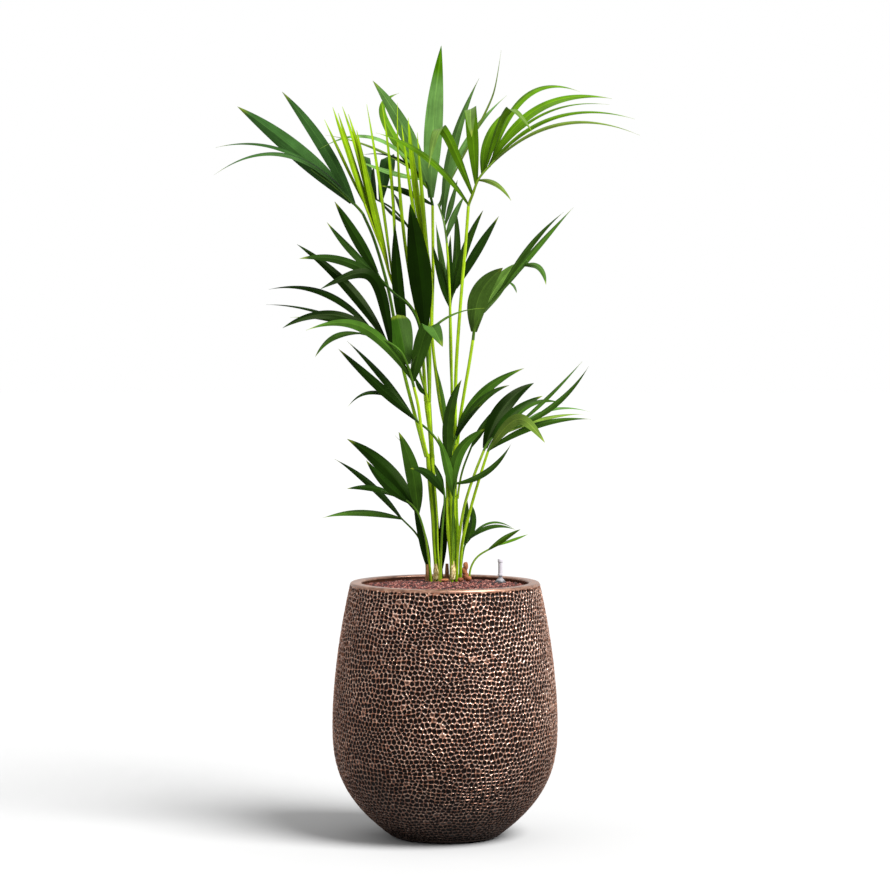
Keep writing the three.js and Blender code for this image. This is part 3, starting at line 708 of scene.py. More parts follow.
def clay_lump(node, seed, balls):
    """Balls stacked in a box, each of a radius less a dent times |four crossed sine waves|, and
    stretched to the box's half sizes. Where there are several they are set aside in turn."""
    low, high = (np.array(corner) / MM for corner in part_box(node))
    draw = np.random.default_rng(seed)
    polar = np.linspace(0.02, np.pi - 0.02, 22)[:, None]
    ball = around_axis(np.sin(polar), circle(36), np.cos(polar))
    middle, half = (low + high) / 2, (high - low) / 2
    parts = []
    for k in range(balls):
        dents = sum(
            np.abs(np.sin(ball @ draw.normal(0, 2.2 * (j + 1), 3) + draw.uniform(0, 6))) / (j + 1)
            for j in range(4)
        )
        size = half * (1, 1, 1 if balls == 1 else STACKED_HEIGHT) * draw.uniform(0.85, 1.0, 3)
        rise = 0 if balls == 1 else (2 * k / (balls - 1) - 1) * (half[2] - size[2])
        aside = half[0] * STACKED_ASIDE * (-1) ** k * (balls > 1)
        radius = (BALL_RADIUS - DENT * dents)[..., None]
        parts.append(shell(middle + (aside, 0, rise) + ball * size * radius))
    return joined(parts)


for number, balls in BALLS.items():
    node = f"clay_piece_{number}"
    put_piece(f"clay_lump_{number}", clay_lump(node, 30 + number, balls), [clay], node, sharp=80)
print("clay pieces", len(BALLS))

# %% [markdown]
# A water gauge stands in the granules: a collar with a stepped rim, dark below and grey on top, a
# small nut, and a short pale tube with a cap. Each is turned, and takes its place and size from
# its CAD node.

# %% Gauge
COLLAR_FORM = [(0, 0), (0.98, 0), (1, 0.06), (1, 0.16), (0.9, 0.22), (0.86, 0.3), (0.6, 0.62)]
COLLAR_FORM += [(0.42, 0.78), (0.4, 0.97), (0, 0.99)]
NUT_FORM = [(0, 0), (0.9, 0), (1, 0.2), (1, 0.8), (0.9, 1), (0, 1)]
TUBE_FORM = [(0, 0), (1.5, 0), (1.5, 0.1), (1.25, 0.12), (1.25, 0.88), (1.5, 0.9), (1.5, 1.07)]
TUBE_FORM += [(1.3, 1.1), (0, 1.1)]

fitting = Finish("gauge_plastic")
scuff = fitting.noise(fitting.place(), 300.0)
collar_low, collar_high = (float(corner[2]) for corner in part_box("gauge_collar"))
share_up = fitting.ranged(fitting.axis(2, fitting.place()), collar_low, collar_high, 0.0, 1.0)
fitting.set(
    Base_Color=fitting.mix(
        fitting.ramp(share_up, (0.36, 0.0), (0.52, 1.0)),
        fitting.ramp(scuff, (0.35, "18181a"), (0.7, "4a4a4e")),
        "7c7a7e",
    ),
    Roughness=fitting.ramp(scuff, (0.3, 0.32), (0.7, 0.5)),
)
tube = Finish("gauge_tube_plastic")
film = tube.noise(tube.place((1, 1, 0.2)), 500.0)
tube.set(Base_Color=tube.ramp(film, (0.3, "928e94"), (0.7, "b2aeb4")), Roughness=0.15)


def lathe_in(node, shares, finish, sides=48):
    """A turned form in a CAD node's box: (share of the half width, share of the height) points."""
    low, high = (np.array(corner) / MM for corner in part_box(node))
    half, tall = (high[0] - low[0]) / 2, high[2] - low[2]
    rings = turned([(max(r * half, ON_AXIS), low[2] + z * tall) for r, z in shares], sides)
    rings[..., :2] += (low[:2] + high[:2]) / 2
    skin = shell(rings)
    put_piece(f"{node}_turned", skin, [finish], node, sharp=40)
    return triangles(skin)


made = lathe_in("gauge_collar", COLLAR_FORM, fitting)
made += lathe_in("gauge_nut", NUT_FORM, fitting, 6)
made += lathe_in("gauge_tube", TUBE_FORM, tube)
print("gauge", made, "triangles")

# %% [markdown]
# Now the palm. Its pieces were measured on the plane of the planter's axis, so each is listed by
# how far across and up it is seen from the viewer, and how deep it grows. This turns that into
# a place: a point nearer or farther lies on the same line of sight.

# %% Lines of sight and smooth paths
UP = np.array([0.0, 0.0, 1.0])
VIEWER = np.array([0.0, -1.0, 0.0])


def seen(across, up, depth):
    """The point at a depth that is seen at (across, up): both are scaled about the viewer's
    height by the distance from the viewer over the distance to the axis."""
    k = (VIEWER_DISTANCE + depth) / VIEWER_DISTANCE
    return np.array([across * k, depth, VIEWER_HEIGHT + (up - VIEWER_HEIGHT) * k])


def path_points(places, depth_from, depth_to):
    """Seen points whose depth runs evenly with the length drawn on the plane."""
    run = length_along(places)
    depths = depth_from + (depth_to - depth_from) * run / run[-1]
    return np.array([seen(x, z, depth) for (x, z), depth in zip(places, depths)])


def smooth_path(points, shares, lead=None):
    """Places and directions at shares of the length of a smooth curve through points: a cubic
    on each span whose speeds are set by the square roots of the spans' lengths. A lead is the
    direction in which the curve sets out."""
    p = np.asarray(points, float)
    step = p[1] - p[0] if lead is None else lead * np.linalg.norm(p[1] - p[0])
    p = np.concatenate([[p[0] - step], p, [2 * p[-1] - p[-2]]])
    span = np.sqrt(np.linalg.norm(np.diff(p, axis=0), axis=1))
    fine = np.linspace(0, 1, 60, endpoint=False)[:, None]
    pieces = []
    for k in range(1, len(p) - 2):
        a, b, c, d = p[k - 1 : k + 3]
        da, db, dc = span[k - 1 : k + 2]
        out = ((b - a) / da - (c - a) / (da + db) + (c - b) / db) * db
        into = ((c - b) / db - (d - b) / (db + dc) + (d - c) / dc) * db
        square, cube = 3 * (c - b) - 2 * out - into, 2 * (b - c) + out + into
        pieces.append(b + out * fine + square * fine**2 + cube * fine**3)
    line = np.concatenate([*pieces, [p[-2]]])
    run = length_along(line)
    at = np.asarray(shares) * run[-1]
    return read_off(at, run, line), unit(read_off(at, run, unit(np.gradient(line, run, axis=0))))


print("seen at the crown", seen(0, 1700, 150).round(1))

# %% [markdown]
# A stalk or a sheath is a ring carried along its path. The real ones aren't pipes: a stalk grows
# thinner and has a shallow channel down the front, and a sheath has soft lobes. Channel and lobes
# come from a radius that changes with the angle round the ring. The colour is kept with the
# points: yellower where a limb is young, brownish straw at an old sheath.

# %% Stalks and stems
LIMB_SIDES = 18
LOBE_TWIST = 2.2
CHANNEL_DEPTH = 0.1
CHANNEL_AT = 1.3
CHANNEL_WIDTH = 0.5
GRAIN_APART = 40


def limb(points, radii, tones, stations, lobes, number, first, last=None, lead=None):
    """A ring of radius R(t) (1 + lobe waves - channel) on a path's side and front directions.
    First and last are the ways that its end rings face; without a last one, as the path goes."""
    shares = np.linspace(0, 1, stations)
    place, way = smooth_path(points, shares, lead)
    way[0] = first
    if last is not None:
        way[-1] = last
    side = unit(np.cross([0.0, 1.0, 0.0], way))
    front = unit(np.cross(way, side))
    angle = circle(LIMB_SIDES) + np.pi / LIMB_SIDES
    run = shares[:, None] * LOBE_TWIST + number
    form = 1 + lobes * (np.cos(3 * angle + run) + 0.6 * np.cos(5 * angle - 1.4 * run))
    form = form - CHANNEL_DEPTH * np.exp(-(((angle - CHANNEL_AT) / CHANNEL_WIDTH) ** 2))
    ring = spaced(shares, radii) * form
    out, forth = ring * np.cos(angle), ring * np.sin(angle)
    rings = place[:, None] + side[:, None] * out[..., None] + front[:, None] * forth[..., None]
    tint = spaced(shares, [linear(tone) for tone in tones])
    length = length_along(place)[:, None]
    grain = np.stack(np.broadcast_arrays(out, length, forth + GRAIN_APART * number), -1)
    return shell(rings, tint=np.repeat(tint[:, None], LIMB_SIDES, 1), grain=grain)


stalk = Finish("green_stalk")
strands = stalk.fibres((0.9, 0.018, 0.9), 3.0)
mottle = stalk.noise(stalk.place(), 55.0)
streaked = stalk.ramp(strands, (0.3, 0.4), (0.5, 0.95), (0.7, 1.45))
streaked = stalk.times(stalk.attribute("tint", "Color"), streaked)
stalk.set(
    Base_Color=stalk.times(streaked, stalk.ramp(mottle, (0.3, 0.8), (0.7, 1.12))),
    Roughness=stalk.ramp(strands, (0.3, 0.42), (0.7, 0.34)),
    Specular_IOR_Level=0.12,
    Specular_Tint=(0.8, 1.0, 0.35, 1.0),
)
stalk.bump(strands, 0.35, 0.001)
print("stalk finish", stalk.material.name)

# %% [markdown]
# The stems stand on the bed, and stalks on the stems. Each stem has a level top that the next
# pieces stand on, so a piece's foot is found first. A stem is listed by its places across and up,
# what it stands on, its depth and its radii. A stalk has a depth and a radius for each end. The
# small stalks are those that are one piece with their blade.

# %% Where the stems and stalks stand
STEMS = {
    "stem_left": [
        [(-19, 560), (-18, 600), (-21, 640), (-23, 700), (-28, 760), (-33, 832)],
        "bed", 62, (8, 6.2, 7.5, 8.5, 9, 10.5),
    ],
    "stem_right": [
        [(19, 560), (19, 600), (18, 640), (15, 700), (14, 742)], "bed", 62, (9, 9, 12.5, 13.5, 14.2),
    ],
    "stem_right_upper": [[(17, 743), (17, 800), (19, 862)], "stem_right", 65, (8.5, 9.5, 11)],
    "stem_left_upper": [[(-28, 833), (-31, 880), (-38, 955)], "stem_left", 63, (4.8, 5.5, 8)],
}
STALKS = {
    "upper_left": [
        [(-41, 833), (-59, 900), (-94, 1038), (-123, 1196), (-155, 1309), (-178, 1362)],
        "stem_left", 68, 105, 4, 3.2,
    ],
    "lower_left": [[(-38, 833), (-50, 884), (-59, 948), (-68, 987)], "stem_left", 56, -10, 3.8, 3.2],
    "back_left": [[(-34, 956), (-34, 1080), (-42, 1180), (-60, 1300)], "stem_left_upper", 66, 130, 4, 3],
    "spear_left": [[(-43, 956), (-47, 1030), (-50, 1090)], "stem_left_upper", 64, 52, 3.2, 3.4],
    "mid_left": [
        [(-41, 956), (-46, 1030), (-56, 1120), (-76, 1161), (-110, 1190)],
        "stem_left_upper", 57, 0, 3.2, 3,
    ],
    "tall_back": [
        [(10.2, 863), (-8, 937), (-20, 1020), (-28, 1100), (-26, 1237), (-27, 1381)],
        "stem_right_upper", 72.5, 150, 4, 3.2,
    ],
    "pale_back": [
        [(15, 863), (15, 960), (13, 1100), (8, 1237), (4, 1300)], "stem_right_upper", 57, 92, 3.2, 2.6,
    ],
    "dark_fan": [[(17.5, 863), (16, 960), (12, 1060), (11, 1157)], "stem_right_upper", 70.5, 118, 3.2, 3],
    "arching_right": [
        [(22, 863), (24, 1020), (34, 1170), (45, 1300), (51, 1380)], "stem_right_upper", 56, 30, 4, 3.4,
    ],
    "right": [
        [(27, 863), (32, 910), (41, 968), (53, 1038), (61, 1089)], "stem_right_upper", 64, 30, 3.8, 3.4,
    ],
    "thin_left": [[(5, 743), (2, 808), (-10, 857), (-32, 888), (-62, 913)], "stem_right", 56, 36, 3, 2.6],
    "low_right_dark": [[(25, 560), (29, 640), (43, 728), (66, 800), (85, 848)], "bed", 50, 0, 3.6, 3],
    "low_right": [[(33, 560), (37, 640), (56, 720), (79, 799), (94, 846)], "bed", 56, -30, 3.6, 3],
}
SMALL_STALKS = {
    "centre_frond": [[(13, 743), (10, 800), (13, 840), (24, 880)], "stem_right", 51, 34, 3, 2.4],
    "spear_right": [
        [(8.5, 863), (-20, 1020), (-30, 1120), (-29, 1237)], "stem_right_upper", 64, 115, 3, 2.6,
    ],
    "broad_dark_leaf": [[(-34, 956), (-39, 1060), (-44, 1120)], "stem_left_upper", 57, 20, 3, 3],
    "upright_dark_leaf": [
        [(-38, 956), (-52, 1009), (-62, 1046), (-88, 1088)], "stem_left_upper", 50.5, 20, 3, 2.6,
    ],
    "thin_right_leaf": [[(28, 743), (37, 799), (60, 862)], "stem_right", 60, 70, 2.4, 2.2],
    "front_centre": [[(16, 560), (17, 680), (20, 762), (24, 778)], "bed", 42, 20, 2.6, 2.2],
    "front_dark": [[(-10, 560), (-7, 660), (-1, 745), (-3, 766)], "bed", 42, 10, 2.6, 2.2],
    "low_left": [
        [(-30, 560), (-37, 620), (-46, 672), (-62, 716), (-80, 735), (-105, 747), (-140, 760)],
        "bed", 54, 0, 2.8, 2,
    ],
    "far_left": [[(-40, 560), (-43, 618), (-60, 661), (-98, 702)], "bed", 84, 110, 2.6, 2],
    "low_dark_leaf": [[(-33, 560), (-34, 585)], "bed", 78, 80, 3, 3],
    "middle_dark_leaf": [[(-6, 560), (-8, 590)], "bed", 80, 82, 2.6, 2.6],
    "low_right_pair": [[(35, 560), (36, 600), (44, 642), (52, 654)], "bed", 92, 100, 2.6, 2],
    "far_right": [[(53, 560), (57, 592), (71, 615), (112, 640)], "bed", 104, 124, 2.4, 2],
}
top_of = {name: seen(*places[-1], depth)[2] for name, (places, _, depth, _) in STEMS.items()}


def foot_on(stand, across, depth):
    """The foot of a piece: on the sight line across, at the level of what it stands on."""
    x = across * (VIEWER_DISTANCE + depth) / VIEWER_DISTANCE
    level = bed_height(math.hypot(x, depth)) if stand == "bed" else top_of[stand]
    return np.array([x, depth, level + CLEAR])


def grown(places, stand, start, end):
    """A stalk's path, from its foot on what it stands on."""
    points = path_points(places, start, end)
    points[0] = foot_on(stand, places[0][0], start)
    return points


print("stems", {key: round(value) for key, value in top_of.items()})

# %% [markdown]
# A stem is no single column. Every stalk that leaves it has a sheath of its own, which runs on
# down the stem beside the others, so each sheath is a limb from the stem's foot to the foot of
# the stalk above it. A darker core fills the middle and shows in the grooves between them, as
# painted shade there. A sheath ends a little above the stem's level top, drawn in round its
# stalk. At the foot the two clusters still wear a patch of dry straw-coloured sheath.

# %% Stems
SHEATH_TONES = [("86a612", "96b41c"), ("6e920e", "7ea012"), ("9cbc1e", "a4be24")]
SHEATH_TONES += [("628408", "7a9c12"), ("90ae20", "92b018"), ("6c8a0a", "86a414")]
# The core's dark green is painted shade in the grooves between the sheaths.
CORE_TONES = ("2c4206", "35500a")
CORE_SHARE = 0.74
STRAW = "96863c"
PATCHES = {"stem_left": (-20.5, 566, 599, 55), "stem_right": (16.5, 566, 606, 41)}
PATCH_RADII = (5.2, 5.8, 3.2)
CORE_END = 0.4
SHEATH_RISE = 4
SHEATH_STEP = 2.5
SHEATH_OVER_STALK = 1.2
SHEATH_OF_STEM = 0.42
DRAWN_IN = np.array([1.3, 1.15, 1.04])


def standing_on(stem):
    """How far across, how deep and how thick each piece on a stem starts, the deepest first."""
    stalks = [*STALKS.values(), *SMALL_STALKS.values()]
    feet = [(line[0][0], depth, foot) for line, stand, depth, _, foot, _ in stalks if stand == stem]
    stems = STEMS.values()
    feet += [(line[0][0], depth, radii[0]) for line, stand, depth, radii in stems if stand == stem]
    return sorted(feet, key=lambda foot: -foot[1])


def sheaths(name):
    """A core, and a limb for each stalk above: its offset from the axis at the top shrinks with
    the stem's radius toward the foot, and its own radius grows the same way."""
    places, stand, depth, radii = STEMS[name]
    axis = np.array([seen(x, z, depth) for x, z in places])
    axis[0] = foot_on(stand, places[0][0], depth)
    shares = np.linspace(0, 1, 9)
    line, _ = smooth_path(axis, shares)
    outline = spaced(shares, radii)[:, 0]
    pull = outline / outline[-1]
    number = 3 * len(name)
    core = np.array(radii) * CORE_SHARE
    core[-1] *= CORE_END
    parts = [limb(axis, core, CORE_TONES, 50, 0.05, number, UP, UP)]
    for k, (x, stalk_depth, radius) in enumerate(standing_on(name)):
        offset = foot_on(name, x, stalk_depth) - line[-1]
        offset[2] = 0
        offset = offset * min(1, (outline[-1] - radius) / max(np.hypot(*offset[:2]), 1))
        strand = line + offset * pull[:, None]
        strand[-1, 2] += SHEATH_RISE + SHEATH_STEP * (k % 3)
        wide = max(radius * SHEATH_OVER_STALK, outline[-1] * SHEATH_OF_STEM)
        width = np.minimum(wide * pull, outline - 0.8 * np.hypot(*offset[:2]) * pull)
        width = np.maximum(width, radius * 0.8)
        width[-3:] = np.minimum(width[-3:], radius * DRAWN_IN)
        tones = SHEATH_TONES[(k + number) % len(SHEATH_TONES)]
        if stand == "bed":
            tones = (STRAW, *[tones[0]] * 5, tones[1])
        parts.append(limb(strand, width, tones, 60, 0.04, number + 7 * k + 1, UP, UP))
    if name in PATCHES:
        across, low, high, patch_depth = PATCHES[name]
        bulge = ((0, low), (1, (low + high) / 2), (0, high))
        patch = [seen(across + lean, up, patch_depth) for lean, up in bulge]
        patch = limb(patch, PATCH_RADII, (STRAW, STRAW), 24, 0.1, number, UP, UP)
        parts.append({**patch, "finish": 1})
    return joined(parts)


straw = Finish("dry_sheath")
dry = straw.fibres((0.5, 0.12, 0.5), 4.0)
straw.set(
    Base_Color=straw.ramp(dry, (0.36, "4a3014"), (0.5, "ac985c"), (0.66, "e6dcb0")),
    Roughness=0.75,
)
straw.bump(dry, 0.5, 0.001)
for name in STEMS:
    put_piece(f"{name}_bundle", sheaths(name), [stalk, straw], name)
print("stems", len(STEMS))

# %% [markdown]
# Thirteen stalks carry the larger fronds. Each rises from a stem or from the bed and ends at the
# neck, where the blade's rib carries on. The neck's place and direction are kept for the blade.

# %% Stalks
USUAL_STALK = ("7c9e12", "92b01e")
STALK_TONES = {
    "upper_left": ("7a9c12", "64881a", "3a5a14", "243f0c"),
    "lower_left": ("90b01c", "a0bc24"),
    "back_left": ("7c9e12", "4c6c0c", "2a4a0c"),
    "spear_left": ("86a418", "8eae1a"),
    "mid_left": ("86a418", "35540e", "142c06"),
    "dark_fan": ("6a8c0e", "5c842a"),
    "thin_left": ("64840e", "2a4a14"),
    "low_right_dark": ("82a212", "8ca82c"),
}
neck_of = {}
for number, (name, (*route, foot_radius, neck_radius)) in enumerate(STALKS.items()):
    points = grown(*route)
    place, way = smooth_path(points, [1.0])
    neck_of[name] = place[0], way[0]
    tones = STALK_TONES.get(name, USUAL_STALK)
    skin = limb(points, (foot_radius, neck_radius), tones, 60, 0.02, 10 + number, UP)
    put_piece(f"{name}_stalk_fine", skin, [stalk], f"{name}_stalk")
print("stalks", len(neck_of))

# %% [markdown]
# A kentia leaflet is a long narrow blade, slim at the root, widest before the middle and drawn
# out to a point. It is creased along its middle, its two halves falling away like a shallow
# roof, with a fine rib on the crease and veins running lengthwise. The middle line runs from the
# rib over one measured point to the tip; a tight bend there makes a leaflet that has kinked
# under its own weight and shows its paler underside beyond the fold. A crook of 0 marks a
# leaflet whose tip is folded away behind: it widens up to a round blunt end. A tone is the
# colours of a leaflet's face and back, and young or old tips have a colour of their own.

# %% Leaflets
SPREAD = 1.5
VIA_SPREAD = 0.45
LEAF_STATIONS = 40
LEAF_FOLD = 0.2
USUAL_HOLD = 0.42
RIB_HEIGHT = 0.35
RIPPLE = 0.05
EDGE_ON = 66
FLATTEST = 8
FLAT_FROM = 36
SHARP_FOLD = -0.2
FOLD_RUN = 0.14
FACE_LEVELS = (0.77, 1.0)
BACK_LEVEL = 0.85
ROOT_SHADE_LEVEL = 0.62
ROOT_SHADE_SHARE = 0.3
CREASE_LIGHT_CONTRAST = 0.12
FIRST_SEED = 500
UPPER_PLACES = np.array([-1, -0.82, -0.55, -0.25, -0.06, 0.06, 0.25, 0.55, 0.82, 1])
SECTION = np.concatenate([UPPER_PLACES, UPPER_PLACES[-2:0:-1]])
UNDER = np.concatenate([np.zeros(len(UPPER_PLACES)), np.ones(len(UPPER_PLACES) - 2)])

# The darker tones are partly the leaflets' own deep green and partly painted shade inside the crown.
TONES = {
    "deep": ("081a00", "0f2404"),
    "dark": ("132904", "20380c"),
    "green": ("2d4a12", "3a5a22"),
    "cool": ("2b4a20", "3a5a30"),
    "shade": ("223e0a", "304e18"),
    "moss": ("405c20", "5c763a"),
    "olive": ("556c26", "6a8040"),
    "fresh": ("406208", "506a2c"),
    "sage": ("507438", "587240"),
    "crest": ("507438", "66804c"),
    "lime": ("64820a", "527006"),
}
USUAL_TIP = ("62701c", 0.1, 0.5)
TIPS = {"crest": ("2f5400", 0.3, 1.0), "deep": ("1c3408", 0.1, 0.4), "lime": ("6c860e", 0.12, 0.7)}


def middle_line(root, via, tip, crook, count):
    """A conic through the via point: weights (1-s)^2, 2 s (1-s) crook and s^2 on root, control
    and tip, over their sum, then spaced evenly by length."""
    near = np.linalg.norm(via - root)
    t = near / (near + np.linalg.norm(tip - via))
    a, b, c = (1 - t) ** 2, 2 * t * (1 - t) * crook, t**2
    control = (via * (a + b + c) - a * root - c * tip) / b
    s = np.linspace(0, 1, 201)[:, None]
    weights = [(1 - s) ** 2, 2 * s * (1 - s) * crook, s**2]
    line = (weights[0] * root + weights[1] * control + weights[2] * tip) / sum(weights)
    run = length_along(line)
    return read_off(np.linspace(0, run[-1], count), run, line), run[-1]


def leaf_width(s, full_at, hold, slim):
    """Share of the full width: a quarter sine up to the place where it is full, then, from the
    place up to which the leaf holds it, a cosine to a power down to 0."""
    swell = np.minimum(1, 0.3 + 0.7 * np.sin(np.minimum(s / full_at, 1) * np.pi / 2))
    taper = np.cos(np.clip((s - hold) / (1 - hold), 0, 1) * np.pi / 2) ** slim
    return swell * taper


def leaf_turn(width):
    """A leaflet that looks narrow is seen nearly edge-on, and a wide one nearly flat."""
    return math.radians(max(FLATTEST, EDGE_ON * (1 - width / FLAT_FROM)))


def leaf_across(line, way, width, sign):
    """The direction across the blade at each station. It lies flat to the viewer, turned by the
    leaflet's own angle; past a sharp fold it goes on along the crease, so the back shows. Also
    the share of the length up to which the leaf holds its width."""
    flat = unit(np.cross(way, VIEWER))
    hold = USUAL_HOLD
    reach = len(line) // 6
    bend = np.einsum("ij,ij->i", way[: -2 * reach], way[2 * reach :])
    fold = int(np.argmin(bend)) + reach
    before, after = way[fold - reach], way[fold + reach]
    if before[0] * after[0] + before[2] * after[2] < SHARP_FOLD:
        s = np.linspace(0, 1, len(line))
        hold = min(0.85, max(USUAL_HOLD, s[fold]))
        share = smoothstep((s - s[fold]) / FOLD_RUN + 0.5)[:, None]
        first, second = unit(np.cross(before, VIEWER)), -unit(np.cross(after, VIEWER))
        flat = unit(first * (1 - share) + second * share)
        flat = unit(flat - np.einsum("ij,ij->i", flat, way)[:, None] * way)
    face = unit(np.cross(flat, way))
    turn = sign * leaf_turn(width)
    return flat * math.cos(turn) + face * math.sin(turn), hold


def leaf_tint(tone, s, draw):
    """Face and back colours round the section, with painted shade toward the root, one half a
    little lighter than the other as painted light on one side of the crease, and drawn over to
    the tip's colour at the end."""
    face, back = (linear(code) for code in TONES[tone])
    face = face * draw.uniform(*FACE_LEVELS)
    tint = face + (BACK_LEVEL * back - face) * UNDER[:, None]
    # Painted shade toward the root.
    shade = ROOT_SHADE_LEVEL + (1 - ROOT_SHADE_LEVEL) * smoothstep(s / ROOT_SHADE_SHARE)
    # Painted light: one half of the crease a little lighter than the other.
    halves = 1 + CREASE_LIGHT_CONTRAST * np.sign(SECTION) * draw.choice([-1, 1])
    tint = tint * shade[..., None] * halves[:, None]
    tip, reach, strength = TIPS.get(tone, USUAL_TIP)
    tip_share = smoothstep(2 * (s - 1 + reach) / reach)[..., None] * strength
    return tint * (1 - tip_share) + linear(tip) * tip_share


def leaflet(root, row, tone, number):
    """A thin blade: across the section the height is -fold |u|, thicker at the rib; the width
    follows leaf_width along the middle line."""
    _, via_x, via_z, tip_x, tip_z, width, toward, crook = (*row, 1)[:8]
    via = seen(via_x, via_z, root[1] - VIA_SPREAD * SPREAD * toward)
    tip = seen(tip_x, tip_z, root[1] - SPREAD * toward)
    line, whole = middle_line(root, via, tip, crook or 1, LEAF_STATIONS)
    way = unit(np.gradient(line, axis=0))
    across, hold = leaf_across(line, way, width, np.sign(tip[0] - root[0]))
    normal = unit(np.cross(across, way))
    s = np.linspace(0, 1, LEAF_STATIONS)[:, None]
    draw = np.random.default_rng(FIRST_SEED + number)
    slim = 0.85 if width > 0.07 * whole else 1.25
    if tone == "lime":
        slim = 0.7
    form = leaf_width(s, USUAL_HOLD, hold, slim) if crook else leaf_width(s, 0.75, 0.8, 0.4)
    full = width / math.cos(leaf_turn(width))
    half = np.maximum(full / 2 * form, 0.6 if tone == "lime" else 0.3)
    ripple = RIPPLE * half * np.sin(9 * s + draw.uniform(0, 6)) * np.sign(SECTION) * SECTION**2
    thick = np.minimum(0.9, 0.25 + whole / 400) * (1.25 - np.abs(SECTION)) * np.minimum(1, half)
    rib = RIB_HEIGHT * np.exp(-((SECTION / 0.1) ** 2)) * np.minimum(1, half / 6)
    height = ripple + rib - LEAF_FOLD * half * np.abs(SECTION) ** 1.15 - UNDER * thick
    out = SECTION * half
    rings = line[:, None] + across[:, None] * out[..., None] + normal[:, None] * height[..., None]
    grain = np.stack(np.broadcast_arrays(out, s * whole, 30.0 * number), -1)
    return shell(rings, tint=leaf_tint(tone, s, draw), grain=grain)


leaf = Finish("kentia_leaf")
veins = leaf.fibres((1.1, 0.012, 1), 2.0)
cloud = leaf.noise(leaf.place(), 26.0)
from_rib = leaf.math("ABSOLUTE", leaf.axis(0, leaf.attribute("grain")))
veined = leaf.times(leaf.attribute("tint", "Color"), leaf.ramp(veins, (0.3, 0.72), (0.7, 1.28)))
clouded = leaf.times(veined, leaf.ramp(cloud, (0.3, 0.8), (0.7, 1.22)))
rib_colour = leaf.times(clouded, (2.0, 1.8, 1.7))
leaf.set(
    Base_Color=leaf.mix(leaf.ranged(from_rib, 0.3, 1.3, 0.55, 0.0), clouded, rib_colour),
    Roughness=leaf.ramp(veins, (0.3, 0.46), (0.7, 0.34)),
    Specular_IOR_Level=0.045,
    Specular_Tint=(0.75, 1.0, 0.4, 1.0),
)
leaf.bump(veins, 0.25, 0.0008)
print("leaf tones", list(TONES))

# %% [markdown]
# A blade is its rib with the leaflets rooted in it. It is listed by the rib's places after the
# neck, its depths and radii, one word for each leaflet's tone or one for all of them, and then a
# row for each leaflet: its place along the rib, the via point, the tip, the width as seen, how
# far the tip comes forward, and how sharply it folds where it does.

